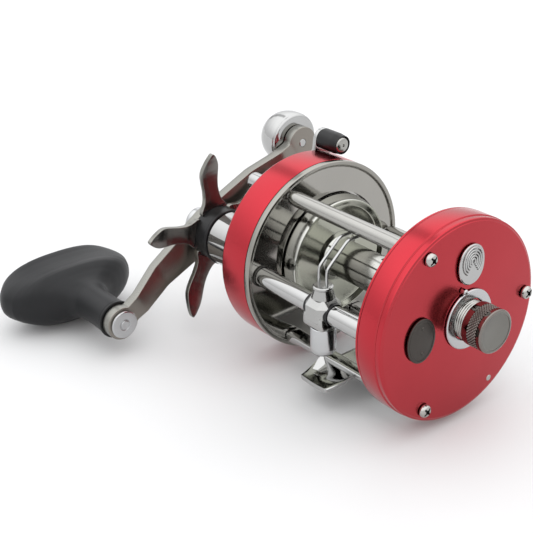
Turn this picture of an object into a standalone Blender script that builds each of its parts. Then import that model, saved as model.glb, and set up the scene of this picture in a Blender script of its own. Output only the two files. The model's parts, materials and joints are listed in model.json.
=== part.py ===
"""Round, power-handle baitcasting reel with a level wind, built as separate pieces.

World frame: the origin is the middle of the foot's underside, where the reel sits on a rod.
+X points from the handle to the palm plate (along every shaft), -Y is the front, where the
line guide is, and +Z is up.  Lengths in the tables below are millimetres; heights are measured
from the plate axis, which runs AXIS_HEIGHT above the seat.
"""
import math

import bmesh
import bpy
from mathutils import Matrix

MM = 0.001
GAP = 0.3                       # running and seating clearance between pieces
TO_X = (0.0, math.radians(90), 0.0)     # turns a local Z axis to world +X
TAU = 2 * math.pi

# Plates and frame
AXIS_HEIGHT = 28.4
PLATE_R = 32.0
FRAME_HALF = 25.1
WALL = 1.8
HANDLE_WALL_X = -25.9           # polished wall of the handle-side ring
HANDLE_SEAM_X = -26.9
HANDLE_FACE_X = -39.6
PALM_WALL_X = 24.6
PALM_SEAM_X = 25.6
PALM_FACE_X = 34.8
CAVITY_R = 30.5
OPENING_R = 21.0
PILLAR_R = 2.43
PILLAR_CIRCLE_R = 28.2
PILLAR_ANGLES = {"rear": 0.6, "upper": 119.2, "lower": 240.2}

# Shaft axes, as (y, z) from the plate axis
SPOOL_AXIS = (3.2, 0.0)
DRIVE_AXIS = (-15.0, -0.24)
WORM_AXIS = (-25.8, 0.7)
LEVER_AXIS = (10.0, 9.0)
DOG_AXIS = (-11.0, -13.54)
BUTTON_AXIS = (2.8, 18.0)
PIN_AXIS = (14.2, -24.7)

# Gear train
MAIN_TEETH = 57
PINION_TEETH = 14
WIND_DRIVE_TEETH = 28
WIND_WORM_TEETH = 16
MAIN_GEAR_X = (-34.4, -31.9)
WIND_GEAR_X = (-30.3, -28.8)
RATCHET_X = (-31.6, -30.6)

# Spool
FLANGE_R = 20.36
FLANGE_INNER_X = 21.1
FLANGE_OUTER_X = 26.4
ARBOR_R = 6.3
CLICK_X = (27.6, 28.6)
BRAKE_X = 30.1
SPOOL_SHAFT_R = 1.5

# Handle group
SLEEVE_R = 9.5
SLEEVE_END_X = -57.7
STAR_X = -64.2                  # inboard face of the star, at its middle
STAR_THICK = 1.9
STAR_R = 30.5
STAR_PHASE = 96.3
ARM_HUB_X = -68.7               # inboard face of the arm at its hub
ARM_END_X = -65.55              # inboard face of the arm at its ends
ARM_THICK = 3.6
ARM_REACH = 45.45
ARM_END_R = 5.8
ARM_ANGLE = 209.41              # direction of the knob from the drive axis

# Line guide
GUIDE_X = 3.7
BLOCK = (10.4, 9.6, 10.0)

# Foot
FOOT_THICK = 1.5
FOOT_FRONT_Y = -27.0
FOOT_REAR_Y = 37.0
FOOT_CENTRE_HALF = 8.6
FOOT_END_HALF = 5.7
BAR_Y = 14.0
BAR_Z = -24.5

MATERIALS = {                   # colour, metallic, roughness
    "red_anodised": ((0.45, 0.02, 0.035), 0.9, 0.25),
    "chrome": ((0.80, 0.80, 0.80), 1.0, 0.08),
    "satin_chrome": ((0.72, 0.73, 0.74), 1.0, 0.22),
    "gunmetal": ((0.20, 0.18, 0.17), 1.0, 0.28),
    "steel": ((0.55, 0.55, 0.54), 1.0, 0.3),
    "brass": ((0.70, 0.52, 0.22), 1.0, 0.3),
    "black_rubber": ((0.03, 0.03, 0.032), 0.0, 0.65),
    "black_plastic": ((0.02, 0.02, 0.02), 0.0, 0.45),
}


def reset_scene():
    for obj in list(bpy.data.objects):
        bpy.data.objects.remove(obj, do_unlink=True)


def make_collection(name):
    collection = bpy.data.collections.new(name)
    bpy.context.scene.collection.children.link(collection)
    return collection


def make_material(name):
    colour, metallic, roughness = MATERIALS[name]
    material = bpy.data.materials.get(name) or bpy.data.materials.new(name)
    material.use_nodes = True
    shader = material.node_tree.nodes["Principled BSDF"]
    shader.inputs["Base Color"].default_value = (*colour, 1.0)
    shader.inputs["Metallic"].default_value = metallic
    shader.inputs["Roughness"].default_value = roughness
    return material


def world(x, y, z):
    """A place given in millimetres from the plate axis, in world metres."""
    return (x * MM, y * MM, (z + AXIS_HEIGHT) * MM)


def polar(radius, degrees):
    return (radius * math.cos(math.radians(degrees)), radius * math.sin(math.radians(degrees)))


def offset(axis, radius, degrees):
    dy, dz = polar(radius, degrees)
    return (axis[0] + dy, axis[1] + dz)


def add_object(name, data, place=(0.0, 0.0, 0.0), rotation=(0.0, 0.0, 0.0), material=None):
    obj = bpy.data.objects.new(name, data)
    obj.location = place
    obj.rotation_euler = rotation
    target = PARTS if material else CUTTERS
    target.objects.link(obj)
    if material:
        obj.data.materials.append(make_material(material))
    else:
        obj.hide_render = True
        obj.display_type = "WIRE"
    return obj


# ---------------------------------------------------------------- shape makers

def turned(name, profile, axis, material=None, steps=24, closed=False):
    """A profile of (radius, x) points, run down its outer side, turned about an X axis."""
    mesh = bpy.data.meshes.new(name)
    points = [(radius * MM, 0.0, x * MM) for radius, x in profile]
    edges = [(i, i + 1) for i in range(len(points) - 1)]
    if closed:
        edges.append((len(points) - 1, 0))
    mesh.from_pydata(points, edges, [])
    obj = add_object(name, mesh, world(0, *axis), TO_X, material)
    screw = obj.modifiers.new("Turn", "SCREW")
    screw.axis = "Z"
    screw.steps = steps
    screw.render_steps = steps
    screw.use_merge_vertices = True
    screw.merge_threshold = 0.00001
    screw.use_smooth_shade = True
    return obj


def rod(name, radius, span, axis, material=None, steps=16, chamfer=0.0):
    """A solid round bar along X between span[0] and span[1]."""
    low, high = span
    inset = radius - chamfer
    profile = [(0, high), (inset, high), (radius, high - chamfer), (radius, low + chamfer), (inset, low),
               (0, low)]
    if not chamfer:
        profile = [(0, high), (radius, high), (radius, low), (0, low)]
    return turned(name, profile, axis, material, steps)


def ring(name, inner, outer, span, axis, material=None, steps=24):
    low, high = span
    profile = [(inner, high), (outer, high), (outer, low), (inner, low)]
    return turned(name, profile, axis, material, steps, closed=True)


def upright_rod(name, radius, span, x, y, material=None, steps=16):
    """A round bar along Z between heights span[0] and span[1]."""
    mesh = bpy.data.meshes.new(name)
    bm = bmesh.new()
    bmesh.ops.create_cone(bm, cap_ends=True, segments=steps, radius1=radius * MM, radius2=radius * MM,
                          depth=(span[1] - span[0]) * MM)
    bm.to_mesh(mesh)
    bm.free()
    return add_object(name, mesh, world(x, y, (span[0] + span[1]) / 2), material=material)


def box(name, size, centre, material=None, bevel=0.0, rotation=(0.0, 0.0, 0.0)):
    mesh = bpy.data.meshes.new(name)
    bm = bmesh.new()
    bmesh.ops.create_cube(bm, size=1.0, matrix=Matrix.Diagonal((*[side * MM for side in size], 1.0)))
    bm.to_mesh(mesh)
    bm.free()
    obj = add_object(name, mesh, world(*centre), rotation, material)
    if bevel:
        modifier = obj.modifiers.new("Edge", "BEVEL")
        modifier.width = bevel * MM
        modifier.segments = 1
    return obj


def plate(name, loops, span, axis, material=None):
    """Flat outlines of (y, z) points about an axis, as thick as span; inner loops are holes."""
    curve = bpy.data.curves.new(name, "CURVE")
    curve.dimensions = "2D"
    curve.fill_mode = "BOTH"
    curve.extrude = (span[1] - span[0]) * MM / 2
    for loop in loops:
        spline = curve.splines.new("POLY")
        spline.points.add(len(loop) - 1)
        for point, (y, z) in zip(spline.points, loop):
            point.co = (-z * MM, y * MM, 0.0, 1.0)
        spline.use_cyclic_u = True
    x_middle = (span[0] + span[1]) / 2
    return solid_from_curve(name, curve, world(x_middle, *axis), TO_X, material)


def solid_from_curve(name, curve, place, rotation, material):
    """Turn a curve into a closed mesh object, with its caps welded."""
    carrier = bpy.data.objects.new(name + "_curve", curve)
    bpy.context.scene.collection.objects.link(carrier)
    bpy.context.view_layer.update()
    evaluated = carrier.evaluated_get(bpy.context.evaluated_depsgraph_get())
    mesh = bpy.data.meshes.new_from_object(evaluated)
    bpy.data.objects.remove(carrier, do_unlink=True)
    bm = bmesh.new()
    bm.from_mesh(mesh)
    bmesh.ops.remove_doubles(bm, verts=bm.verts, dist=0.000002)
    bmesh.ops.recalc_face_normals(bm, faces=bm.faces)
    bm.to_mesh(mesh)
    bm.free()
    mesh.materials.clear()
    return add_object(name, mesh, place, rotation, material)


def wire(name, points, radius, material):
    """A round wire through world points in millimetres from the plate axis."""
    curve = bpy.data.curves.new(name, "CURVE")
    curve.dimensions = "3D"
    curve.bevel_depth = radius * MM
    curve.bevel_resolution = 2
    curve.use_fill_caps = True
    curve.render_resolution_u = 0
    spline = curve.splines.new("POLY")
    spline.points.add(len(points) - 1)
    for point, place in zip(spline.points, points):
        point.co = (*world(*place), 1.0)
    return solid_from_curve(name, curve, (0.0, 0.0, 0.0), (0.0, 0.0, 0.0), material)


def combine(target, operands, operation):
    for operand in operands:
        modifier = target.modifiers.new(operation.title(), "BOOLEAN")
        modifier.operation = operation
        modifier.solver = "EXACT"
        modifier.object = operand


def cut(target, *cutters):
    combine(target, cutters, "DIFFERENCE")


def join(target, *operands):
    combine(target, operands, "UNION")


def hole(label, radius, span, axis, steps=14):
    return rod("cut_" + label, radius, span, axis, steps=steps)


def circle(radius, count, centre=(0.0, 0.0)):
    return [offset(centre, radius, 360 * i / count) for i in range(count)]


def capsule(start, end, radius, count=6):
    """The outline round a line from start to end."""
    return tapered_link(start, radius, end, radius, count)


def tapered_link(start, start_r, end, end_r, count=6):
    """A lever outline: two round ends of different sizes joined by straight sides."""
    heading = math.degrees(math.atan2(end[1] - start[1], end[0] - start[0]))
    near = [offset(start, start_r, heading + 90 + 180 * i / count) for i in range(count + 1)]
    far = [offset(end, end_r, heading - 90 + 180 * i / count) for i in range(count + 1)]
    return near + far


def pitch_radii(centres, teeth_a, teeth_b):
    """Module and pitch radii of two gears on centres that far apart."""
    distance = math.dist(*centres)
    module = 2 * distance / (teeth_a + teeth_b)
    return module, module * teeth_a / 2, module * teeth_b / 2


def gear_outline(teeth, module, phase):
    """Spur teeth with a thin flank, so that a pair has backlash; phase is one tooth's direction."""
    pitch_r = module * teeth / 2
    tip_r = pitch_r + 0.85 * module
    root_r = pitch_r - 1.15 * module
    step = 360 / teeth
    points = []
    for tooth in range(teeth):
        middle = phase + tooth * step
        for radius, share in ((root_r, -0.29), (tip_r, -0.11), (tip_r, 0.11), (root_r, 0.29)):
            points.append(polar(radius, middle + share * step))
    return points


def ratchet_outline(teeth, tip_r, root_r):
    points = []
    for tooth in range(teeth):
        start = 360 * tooth / teeth
        points.append(polar(tip_r, start))
        points.append(polar(root_r, start + 3))
        points.append(polar((tip_r + root_r) / 2, start + 360 / teeth * 0.6))
    return points


def heading(start, end):
    return math.degrees(math.atan2(end[1] - start[1], end[0] - start[0]))


# ---------------------------------------------------------------- frame and plates

def pillar_axis(name):
    return polar(PILLAR_CIRCLE_R, PILLAR_ANGLES[name])


def pillar_holes(label, radius, span):
    return [hole(f"{label}_{name}", radius, span, pillar_axis(name), 10) for name in PILLAR_ANGLES]


def make_rings():
    crest = -FRAME_HALF
    profile = [
        (0, HANDLE_WALL_X), (29.7, HANDLE_WALL_X), (30.2, HANDLE_WALL_X + 0.1), (30.5, crest - 0.1),
        (31.0, crest), (31.7, crest), (PLATE_R, crest - 0.3), (PLATE_R, HANDLE_SEAM_X), (0, HANDLE_SEAM_X),
    ]
    handle_ring = turned("handle_side_ring", profile, (0, 0), "chrome", 44)
    bore = (HANDLE_SEAM_X - 1, HANDLE_WALL_X + 1)
    cut(handle_ring, *pillar_holes("handle_ring", 1.6, bore),
        hole("handle_ring_worm", 1.9, bore, WORM_AXIS),
        hole("handle_ring_spool", OPENING_R, bore, SPOOL_AXIS, 36))
    profile = [
        (0, 26.9), (29.8, 26.9), (29.8, 25.3), (31.9, 25.3), (31.9, PALM_WALL_X), (0, PALM_WALL_X),
    ]
    palm_ring = turned("palm_side_ring", profile, (0, 0), "chrome", 44)
    bore = (PALM_WALL_X - 1, 28)
    cut(palm_ring, *pillar_holes("palm_ring", 1.6, bore), hole("palm_ring_worm", 1.9, bore, WORM_AXIS),
        hole("palm_ring_spool", OPENING_R, bore, SPOOL_AXIS, 36),
        hole("palm_ring_pin", 1.3, bore, PIN_AXIS, 14))


def make_pillars():
    left = HANDLE_WALL_X + GAP
    right = PALM_WALL_X - GAP
    neck_r = 1.95
    taper = 4.0
    for name, label in (("upper", "upper_front_pillar"), ("rear", "rear_pillar")):
        profile = [
            (0, right), (neck_r, right), (PILLAR_R, right - taper), (PILLAR_R, left + taper),
            (neck_r, left), (0, left),
        ]
        pillar = turned(label, profile, pillar_axis(name), "chrome", 18)
        cut(pillar, hole(label + "_left", 1.45, (left - 1, left + 5), pillar_axis(name), 10),
            hole(label + "_right", 1.45, (right - 5, right + 1), pillar_axis(name), 10))
    for sign, label in ((-1, "lower_front_bar"), (1, "lower_rear_bar")):
        middle = ((left + right) / 2, sign * BAR_Y, BAR_Z)
        bar = box(label, (right - left, 5.6, 4.0), middle, "chrome", 1.0)
        cut(bar, upright_rod("cut_" + label, 1.7, (BAR_Z - 3, BAR_Z - 0.2), 0, sign * BAR_Y, steps=16))
        if sign > 0:
            cut(bar, hole(label + "_pin", 1.3, (right - 4, right + 1), PIN_AXIS, 14))
        else:
            axis = pillar_axis("lower")
            cut(bar, hole(label + "_left", 1.45, (left - 1, left + 5), axis, 10),
                hole(label + "_right", 1.45, (right - 5, right + 1), axis, 10))


def make_foot():
    """A stamped sheet, flat along its middle strip and dished up along both edges."""
    stations = [FOOT_FRONT_Y, -26.2, -22.5, -19.5, -17.0, -12.0, 12.0, 17.0, 20.0, 25.0, 31.0, 36.0,
                FOOT_REAR_Y]
    shares = (-1.0, -0.8, -0.4, 0.0, 0.4, 0.8, 1.0)
    seat = -AXIS_HEIGHT
    bm = bmesh.new()
    rows = []
    for y in stations:
        half = foot_half_width(y)
        rows.append([bm.verts.new(world(share * half, y, seat + foot_rise(share, y))) for share in shares])
    for near, far in zip(rows, rows[1:]):
        for i in range(len(shares) - 1):
            bm.faces.new((near[i], near[i + 1], far[i + 1], far[i]))
    mesh = bpy.data.meshes.new("reel_foot")
    bm.to_mesh(mesh)
    bm.free()
    foot = add_object("reel_foot", mesh, material="chrome")
    shell = foot.modifiers.new("Sheet", "SOLIDIFY")
    shell.thickness = FOOT_THICK * MM
    shell.offset = 1.0
    for sign, label in ((-1, "front"), (1, "rear")):
        y = sign * BAR_Y
        cut(foot, upright_rod("cut_foot_" + label, 1.7, (seat - 1, seat + 3), 0, y, steps=16))
        upright_rod(f"foot_rivet_{label}", 1.4, (seat + 0.3, BAR_Z - 0.5), 0, y, "steel", 16)


def foot_half_width(y):
    front = FOOT_END_HALF + (FOOT_CENTRE_HALF - FOOT_END_HALF) * min(1.0, (y - FOOT_FRONT_Y) / 15.0)
    rear = FOOT_END_HALF + (FOOT_CENTRE_HALF - FOOT_END_HALF) * min(1.0, (FOOT_REAR_Y - y) / 19.0)
    corner = 1.0 if FOOT_FRONT_Y < y < FOOT_REAR_Y else 0.88
    return min(front, rear) * corner


def foot_rise(share, y):
    """The edges turn up in front of and behind the two bars, and stay flat under them."""
    beyond_bars = min(1.0, max(0.0, (abs(y) - 17.0) / 3.0))
    return 1.4 * beyond_bars * max(0.0, abs(share) - 0.4) / 0.6


def make_handle_cover():
    seam = HANDLE_SEAM_X - GAP
    face = HANDLE_FACE_X
    profile = [
        (0, face + WALL), (29.9, face + WALL), (CAVITY_R, face + WALL + 0.6), (CAVITY_R, seam),
        (PLATE_R, seam),
        (PLATE_R, face + 1.2), (31.6, face + 0.5), (31.0, face), (0, face),
    ]
    cover = turned("handle_side_cover", profile, (0, 0), "red_anodised", 44)
    bore = (face - 1, face + WALL + 1)
    cut(cover, *pillar_holes("handle_cover", 1.6, bore), hole("cover_drive", 7.2, bore, DRIVE_AXIS, 24),
        hole("cover_lever", 2.3, bore, LEVER_AXIS),
        hole("cover_bearing", 4.3, (face + 0.7, face + 4), SPOOL_AXIS))


def make_palm_cover():
    face = PALM_FACE_X
    step_x = 32.4
    profile = [
        (0, face), (31.1, face), (31.55, face - 0.25), (31.75, face - 0.8), (31.75, step_x),
        (PLATE_R, step_x - 0.3),
        (PLATE_R, PALM_SEAM_X), (CAVITY_R, PALM_SEAM_X), (CAVITY_R, face - WALL - 0.6), (29.9, face - WALL),
        (0, face - WALL),
    ]
    cover = turned("palm_side_cover", profile, (0, 0), "red_anodised", 44)
    bore = (face - WALL - 1, face + 1)
    slot = plate("cut_button_slot", [capsule((0, 0), (0, 3.5), 1.9)], bore, BUTTON_AXIS)
    join(cover, ring("add_brake_drum", 9.6, 10.6, (BRAKE_X - 1.0, face - WALL + 0.5), SPOOL_AXIS, steps=24))
    cut(cover, *pillar_holes("palm_cover", 1.5, bore), hole("cover_barrel", 6.5, bore, SPOOL_AXIS, 24),
        slot, hole("cover_pin", 1.3, bore, PIN_AXIS, 14))


def make_palm_trim():
    face = PALM_FACE_X
    ring("cap_bezel", 6.6, 9.5, (face + GAP, face + 0.9), SPOOL_AXIS, "satin_chrome", 28)
    profile = [
        (4.4, 43.0), (6.0, 43.0), (6.2, 42.8), (6.2, 33.0 - GAP), (8.5, 33.0 - GAP), (8.5, 31.7),
        (4.4, 31.7),
    ]
    turned("bearing_barrel", profile, SPOOL_AXIS, "steel", 24, closed=True)
    rod("locating_stud", 0.9, (face + GAP, face + 2.1), (0.0, 10.3), "chrome", 12, 0.2)
    rod("locating_pin", 1.0, (21.0, face + 0.15), PIN_AXIS, "steel", 14)
    badge = [(5.5 * math.cos(TAU * i / 28), 7.0 * math.sin(TAU * i / 28)) for i in range(24)]
    badge_plate = plate("badge_plate", [badge], (face + GAP, face + 1.0), (-16.6, 0.0), "gunmetal")
    join(badge_plate, rod("add_badge_rivet_upper", 0.6, (face + 0.6, face + 1.3), (-16.3, 4.0), steps=10),
         rod("add_badge_rivet_lower", 0.6, (face + 0.6, face + 1.3), (-16.3, -4.0), steps=10))


def make_fasteners():
    face = PALM_FACE_X
    for name in PILLAR_ANGLES:
        axis = pillar_axis(name)
        head_top = face + GAP + 1.6
        profile = [
            (0, head_top), (1.1, head_top), (1.8, head_top - 0.35), (2.1, head_top - 0.9),
            (2.1, face + GAP),
            (1.1, face + GAP), (1.1, 20.6), (0, 20.6),
        ]
        screw = turned(f"palm_cover_screw_{name}", profile, axis, "steel", 12)
        for turn in (45, 135):
            slot = box(f"cut_{name}_{turn}", (1.8, 2.3, 0.55), (head_top, *axis),
                       rotation=(math.radians(turn), 0, 0))
            cut(screw, slot)
        shank_end = HANDLE_WALL_X + 4.5
        head = HANDLE_FACE_X - GAP
        profile = [
            (0, shank_end), (1.1, shank_end), (1.1, head), (2.7, head), (2.7, head - 4.4),
            (2.3, head - 4.9),
            (0, head - 4.9),
        ]
        nut = turned(f"take_down_screw_{name}", profile, axis, "chrome", 14)
        cut(nut, box(f"cut_nut_{name}", (1.6, 7.0, 0.8), (head - 4.9, *axis)))


# ---------------------------------------------------------------- spool and brakes

def make_spool():
    rim = FLANGE_INNER_X
    web = rim + 1.2
    outer = FLANGE_OUTER_X
    profile = [
        (SPOOL_SHAFT_R + GAP, outer), (FLANGE_R - 0.4, outer), (FLANGE_R, outer - 0.4),
        (FLANGE_R, rim + 0.4), (FLANGE_R - 0.4, rim), (18.9, rim + 0.1), (18.3, rim + 0.9),
        (ARBOR_R + 1.0, web), (ARBOR_R, web - 1.0), (ARBOR_R, 1.0 - web), (ARBOR_R + 1.0, -web),
        (18.3, -rim - 0.9), (18.9, -rim - 0.1), (FLANGE_R - 0.4, -rim), (FLANGE_R, -rim - 0.4),
        (FLANGE_R, 0.4 - outer), (FLANGE_R - 0.4, -outer), (SPOOL_SHAFT_R + GAP, -outer),
    ]
    turned("spool", profile, SPOOL_AXIS, "chrome", 32, closed=True)
    rod("spool_shaft", SPOOL_SHAFT_R, (-38.6, 43.1), SPOOL_AXIS, "steel", 16, 0.3)
    outline = [gear_outline(20, 0.46, 9.0), circle(SPOOL_SHAFT_R + GAP, 16)]
    plate("click_ratchet", outline, CLICK_X, SPOOL_AXIS, "steel")
    ring("palm_spool_bearing", 1.8, 4.1, (33.4, 36.4), SPOOL_AXIS, "steel", 24)
    ring("handle_spool_bearing", 1.8, 4.0, (-38.6, -37.4), SPOOL_AXIS, "steel", 24)


def make_brakes():
    """A hub with a pin each side; the blocks slide out along the pins against the drum."""
    hub = ring("brake_hub", 1.8, 4.0, (BRAKE_X - 0.7, BRAKE_X + 0.7), SPOOL_AXIS, "brass", 16)
    for sign, label in ((-1, "front"), (1, "rear")):
        join(hub, along_y("add_brake_pin_" + label, 0.45, 6.0, brake_place(sign * 6.2), 10))
        block = along_y("brake_block_" + label, 1.15, 3.4, brake_place(sign * 6.2), 16, "black_plastic")
        cut(block, along_y("cut_brake_block_" + label, 0.75, 4.4, brake_place(sign * 6.2), 12))


def brake_place(reach):
    return world(BRAKE_X, SPOOL_AXIS[0] + reach, SPOOL_AXIS[1])


def along_y(name, radius, length, place, steps, material=None):
    mesh = bpy.data.meshes.new(name)
    bm = bmesh.new()
    bmesh.ops.create_cone(bm, cap_ends=True, segments=steps, radius1=radius * MM, radius2=radius * MM,
                          depth=length * MM, matrix=Matrix.Rotation(math.radians(90), 4, "X"))
    bm.to_mesh(mesh)
    bm.free()
    return add_object(name, mesh, place, material=material)


def make_tension_cap():
    start = 38.3
    end = 45.8
    profile = [
        (0, end), (6.2, end), (6.6, end - 0.2), (6.85, end - 0.6), (6.85, end - 1.5), (6.5, end - 1.7),
        (6.5, end - 2.0), (6.9, end - 2.2), (6.9, start + 0.2), (6.75, start), (6.5, start),
        (6.5, end - 2.4),
        (0, end - 2.4),
    ]
    turned("tension_cap", profile, SPOOL_AXIS, "gunmetal", 24)


# ---------------------------------------------------------------- drive train

def make_gears():
    towards_pinion = heading(DRIVE_AXIS, SPOOL_AXIS)
    module, _, _ = pitch_radii((DRIVE_AXIS, SPOOL_AXIS), MAIN_TEETH, PINION_TEETH)
    outline = [gear_outline(MAIN_TEETH, module, towards_pinion), circle(2.8, 20)]
    plate("main_gear", outline, MAIN_GEAR_X, DRIVE_AXIS, "brass")
    phase = towards_pinion + 180 + 180 / PINION_TEETH
    pinion = plate("pinion_gear", [gear_outline(PINION_TEETH, module, phase)], (-35.3, -31.3),
                   SPOOL_AXIS, "brass")
    join(pinion, rod("add_pinion_neck", 2.55, (-31.4, -29.7), SPOOL_AXIS, steps=20),
         rod("add_pinion_collar", 3.7, (-29.8, -28.9), SPOOL_AXIS, steps=20))
    cut(pinion, hole("pinion_bore", SPOOL_SHAFT_R + GAP, (-36, -28), SPOOL_AXIS, 16))

    towards_worm = heading(DRIVE_AXIS, WORM_AXIS)
    module, _, _ = pitch_radii((DRIVE_AXIS, WORM_AXIS), WIND_DRIVE_TEETH, WIND_WORM_TEETH)
    outline = [gear_outline(WIND_DRIVE_TEETH, module, towards_worm), circle(2.8, 20)]
    plate("wind_drive_gear", outline, WIND_GEAR_X, DRIVE_AXIS, "brass")
    phase = towards_worm + 180 + 180 / WIND_WORM_TEETH
    outline = [gear_outline(WIND_WORM_TEETH, module, phase), circle(1.6, 16)]
    plate("worm_gear", outline, WIND_GEAR_X, WORM_AXIS, "black_plastic")


def make_drive():
    profile = [
        (0, -27.5), (2.5, -27.5), (2.5, -72.0), (2.2, -72.3), (0, -72.3),
    ]
    turned("drive_shaft", profile, DRIVE_AXIS, "steel", 20)
    outline = [ratchet_outline(16, 7.0, 5.9), circle(2.8, 20)]
    plate("anti_reverse_ratchet", outline, RATCHET_X, DRIVE_AXIS, "steel")
    ring("drag_washer", 2.8, 9.0, (-35.7, -34.7), DRIVE_AXIS, "black_plastic", 32)
    flange_x = HANDLE_FACE_X - GAP
    profile = [
        (7.4, flange_x), (11.3, flange_x), (11.3, flange_x - 1.2), (10.9, flange_x - 1.6),
        (SLEEVE_R, flange_x - 1.7),
        (SLEEVE_R, SLEEVE_END_X + 0.4), (SLEEVE_R - 0.4, SLEEVE_END_X), (2.8, SLEEVE_END_X), (2.8, -50.5),
        (7.4, -50.5),
    ]
    turned("drive_sleeve", profile, DRIVE_AXIS, "chrome", 24, closed=True)
    outline = capsule((0, 0), offset((0, 0), 5.7, heading(DOG_AXIS, DRIVE_AXIS) - 14), 1.2, 6)
    plate("anti_reverse_dog", [outline, circle(0.8, 12)], (-31.5, -30.7), DOG_AXIS, "steel")


def make_bridge():
    """The inner plate that carries the gear shafts."""
    loops = [circle(30.0, 36), circle(6.5, 24, SPOOL_AXIS), circle(2.85, 20, DRIVE_AXIS),
             circle(1.9, 16, WORM_AXIS)]
    loops += [circle(1.6, 14, pillar_axis(name)) for name in PILLAR_ANGLES]
    bridge = plate("gear_bridge", loops, (-28.4, -27.5), (0, 0), "steel")
    join(bridge, rod("add_dog_pin", 0.5, (-31.6, -28.0), DOG_AXIS, steps=10),
         rod("add_yoke_post_upper", 0.9, (-35.0, -28.0), (SPOOL_AXIS[0] + 2.5, 10.0), steps=12),
         rod("add_yoke_post_lower", 0.9, (-35.0, -28.0), (SPOOL_AXIS[0] + 2.5, -10.0), steps=12))


def make_clutch():
    """A yoke that straddles the pinion's neck, and the lever with its thumb bar that shifts it."""
    yoke = [(6.0, -12.0), (6.0, 12.0), (-1.0, 12.0), (-2.6, 6.0), (-2.6, 2.9), (0.0, 2.9), (0.0, -2.9),
            (-2.6, -2.9), (-2.6, -6.0), (-1.0, -12.0)]
    holes = [circle(1.25, 14, (2.5, 10.0)), circle(1.25, 14, (2.5, -10.0))]
    fork = plate("clutch_yoke", [yoke, *holes], (-31.0, -30.1), SPOOL_AXIS, "steel")
    cut(fork, hole("yoke_throat", 2.95, (-32, -29), SPOOL_AXIS, 16))

    bar_axis = (12.4, 33.7)
    bar = (bar_axis[0] - LEVER_AXIS[0], bar_axis[1] - LEVER_AXIS[1])
    back = HANDLE_FACE_X - GAP
    lever = plate("free_spool_lever", [tapered_link((0, 0), 4.2, bar, 3.4)], (back - 1.5, back),
                  LEVER_AXIS, "chrome")
    join(lever, rod("add_lever_core", 2.8, (back - 0.5, -30.1), bar_axis, steps=16, chamfer=0.3),
         rod("add_lever_shaft", 2.0, (back - 0.5, -36.0), LEVER_AXIS, steps=20),
         plate("add_lever_crank", [tapered_link((0, 0), 3.2, (-3.6, -3.4), 1.2)], (-36.3, -35.5),
               LEVER_AXIS))
    ring("thumb_sleeve", 3.1, 3.45, (back + GAP, -30.5), bar_axis, "black_rubber", 20)


# ---------------------------------------------------------------- handle

def make_star():
    """Five leaf-shaped legs on a round hub; their tips bend back towards the reel."""
    legs = [
        (6.0, 3.9, 0.0), (8.4, 5.2, 0.0), (9.4, 5.1, 0.0), (10.4, 4.3, 0.0), (11.6, 3.5, 0.0),
        (13.4, 3.0, 0.0), (16.5, 2.85, 0.0), (19.0, 3.05, 0.1), (21.5, 3.35, 0.5), (24.0, 3.3, 1.3),
        (26.0, 2.75, 2.2), (28.0, 1.95, 3.1), (29.4, 1.15, 3.8), (STAR_R, 0.35, 4.2),
    ]
    bm = bmesh.new()
    for leg in range(5):
        along = polar(1.0, STAR_PHASE + 72 * leg)
        across = (-along[1], along[0])
        rows = []
        for r, half, bend in legs:
            rows.append([bm.verts.new(((STAR_X + bend) * MM, (along[0] * r + across[0] * half * side) * MM,
                                       (along[1] * r + across[1] * half * side) * MM)) for side in (-1, 1)])
        for near, far in zip(rows, rows[1:]):
            bm.faces.new((near[0], far[0], far[1], near[1]))
    mesh = bpy.data.meshes.new("star_legs")
    bm.to_mesh(mesh)
    bm.free()
    blades = add_object("add_star_legs", mesh, world(0, *DRIVE_AXIS))
    sheet = blades.modifiers.new("Sheet", "SOLIDIFY")
    sheet.thickness = STAR_THICK * MM
    sheet.offset = -1.0
    back = STAR_X - STAR_THICK
    profile = [
        (0, -59.2), (9.1, -59.2), (9.4, -59.5), (9.4, back + 0.1), (6.0, back + 0.1), (6.0, back - 1.9),
        (0, back - 1.9),
    ]
    star = turned("star_drag", profile, DRIVE_AXIS, "gunmetal", 30)
    join(star, blades)
    cut(star, hole("star_bore", 2.8, (-70, -58), DRIVE_AXIS))
    ring("star_seal_ring", 2.8, 9.8, (-58.9, -58.0), DRIVE_AXIS, "black_plastic", 24)


def arm_inner_x(distance):
    """How the arm's inboard face steps towards the reel near its ends."""
    share = min(1.0, max(0.0, (abs(distance) - 24.1) / 11.9))
    return ARM_HUB_X + (ARM_END_X - ARM_HUB_X) * share


def arm_half_width(distance):
    """A straight taper from the hub that runs into a round end."""
    reach = abs(distance)
    taper = 6.9 - 0.085 * reach
    if reach < ARM_REACH - ARM_END_R:
        return taper
    rounded = math.sqrt(max(0.0, ARM_END_R ** 2 - (reach - ARM_REACH) ** 2))
    if reach < ARM_REACH:
        return max(taper, rounded)
    return rounded


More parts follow.
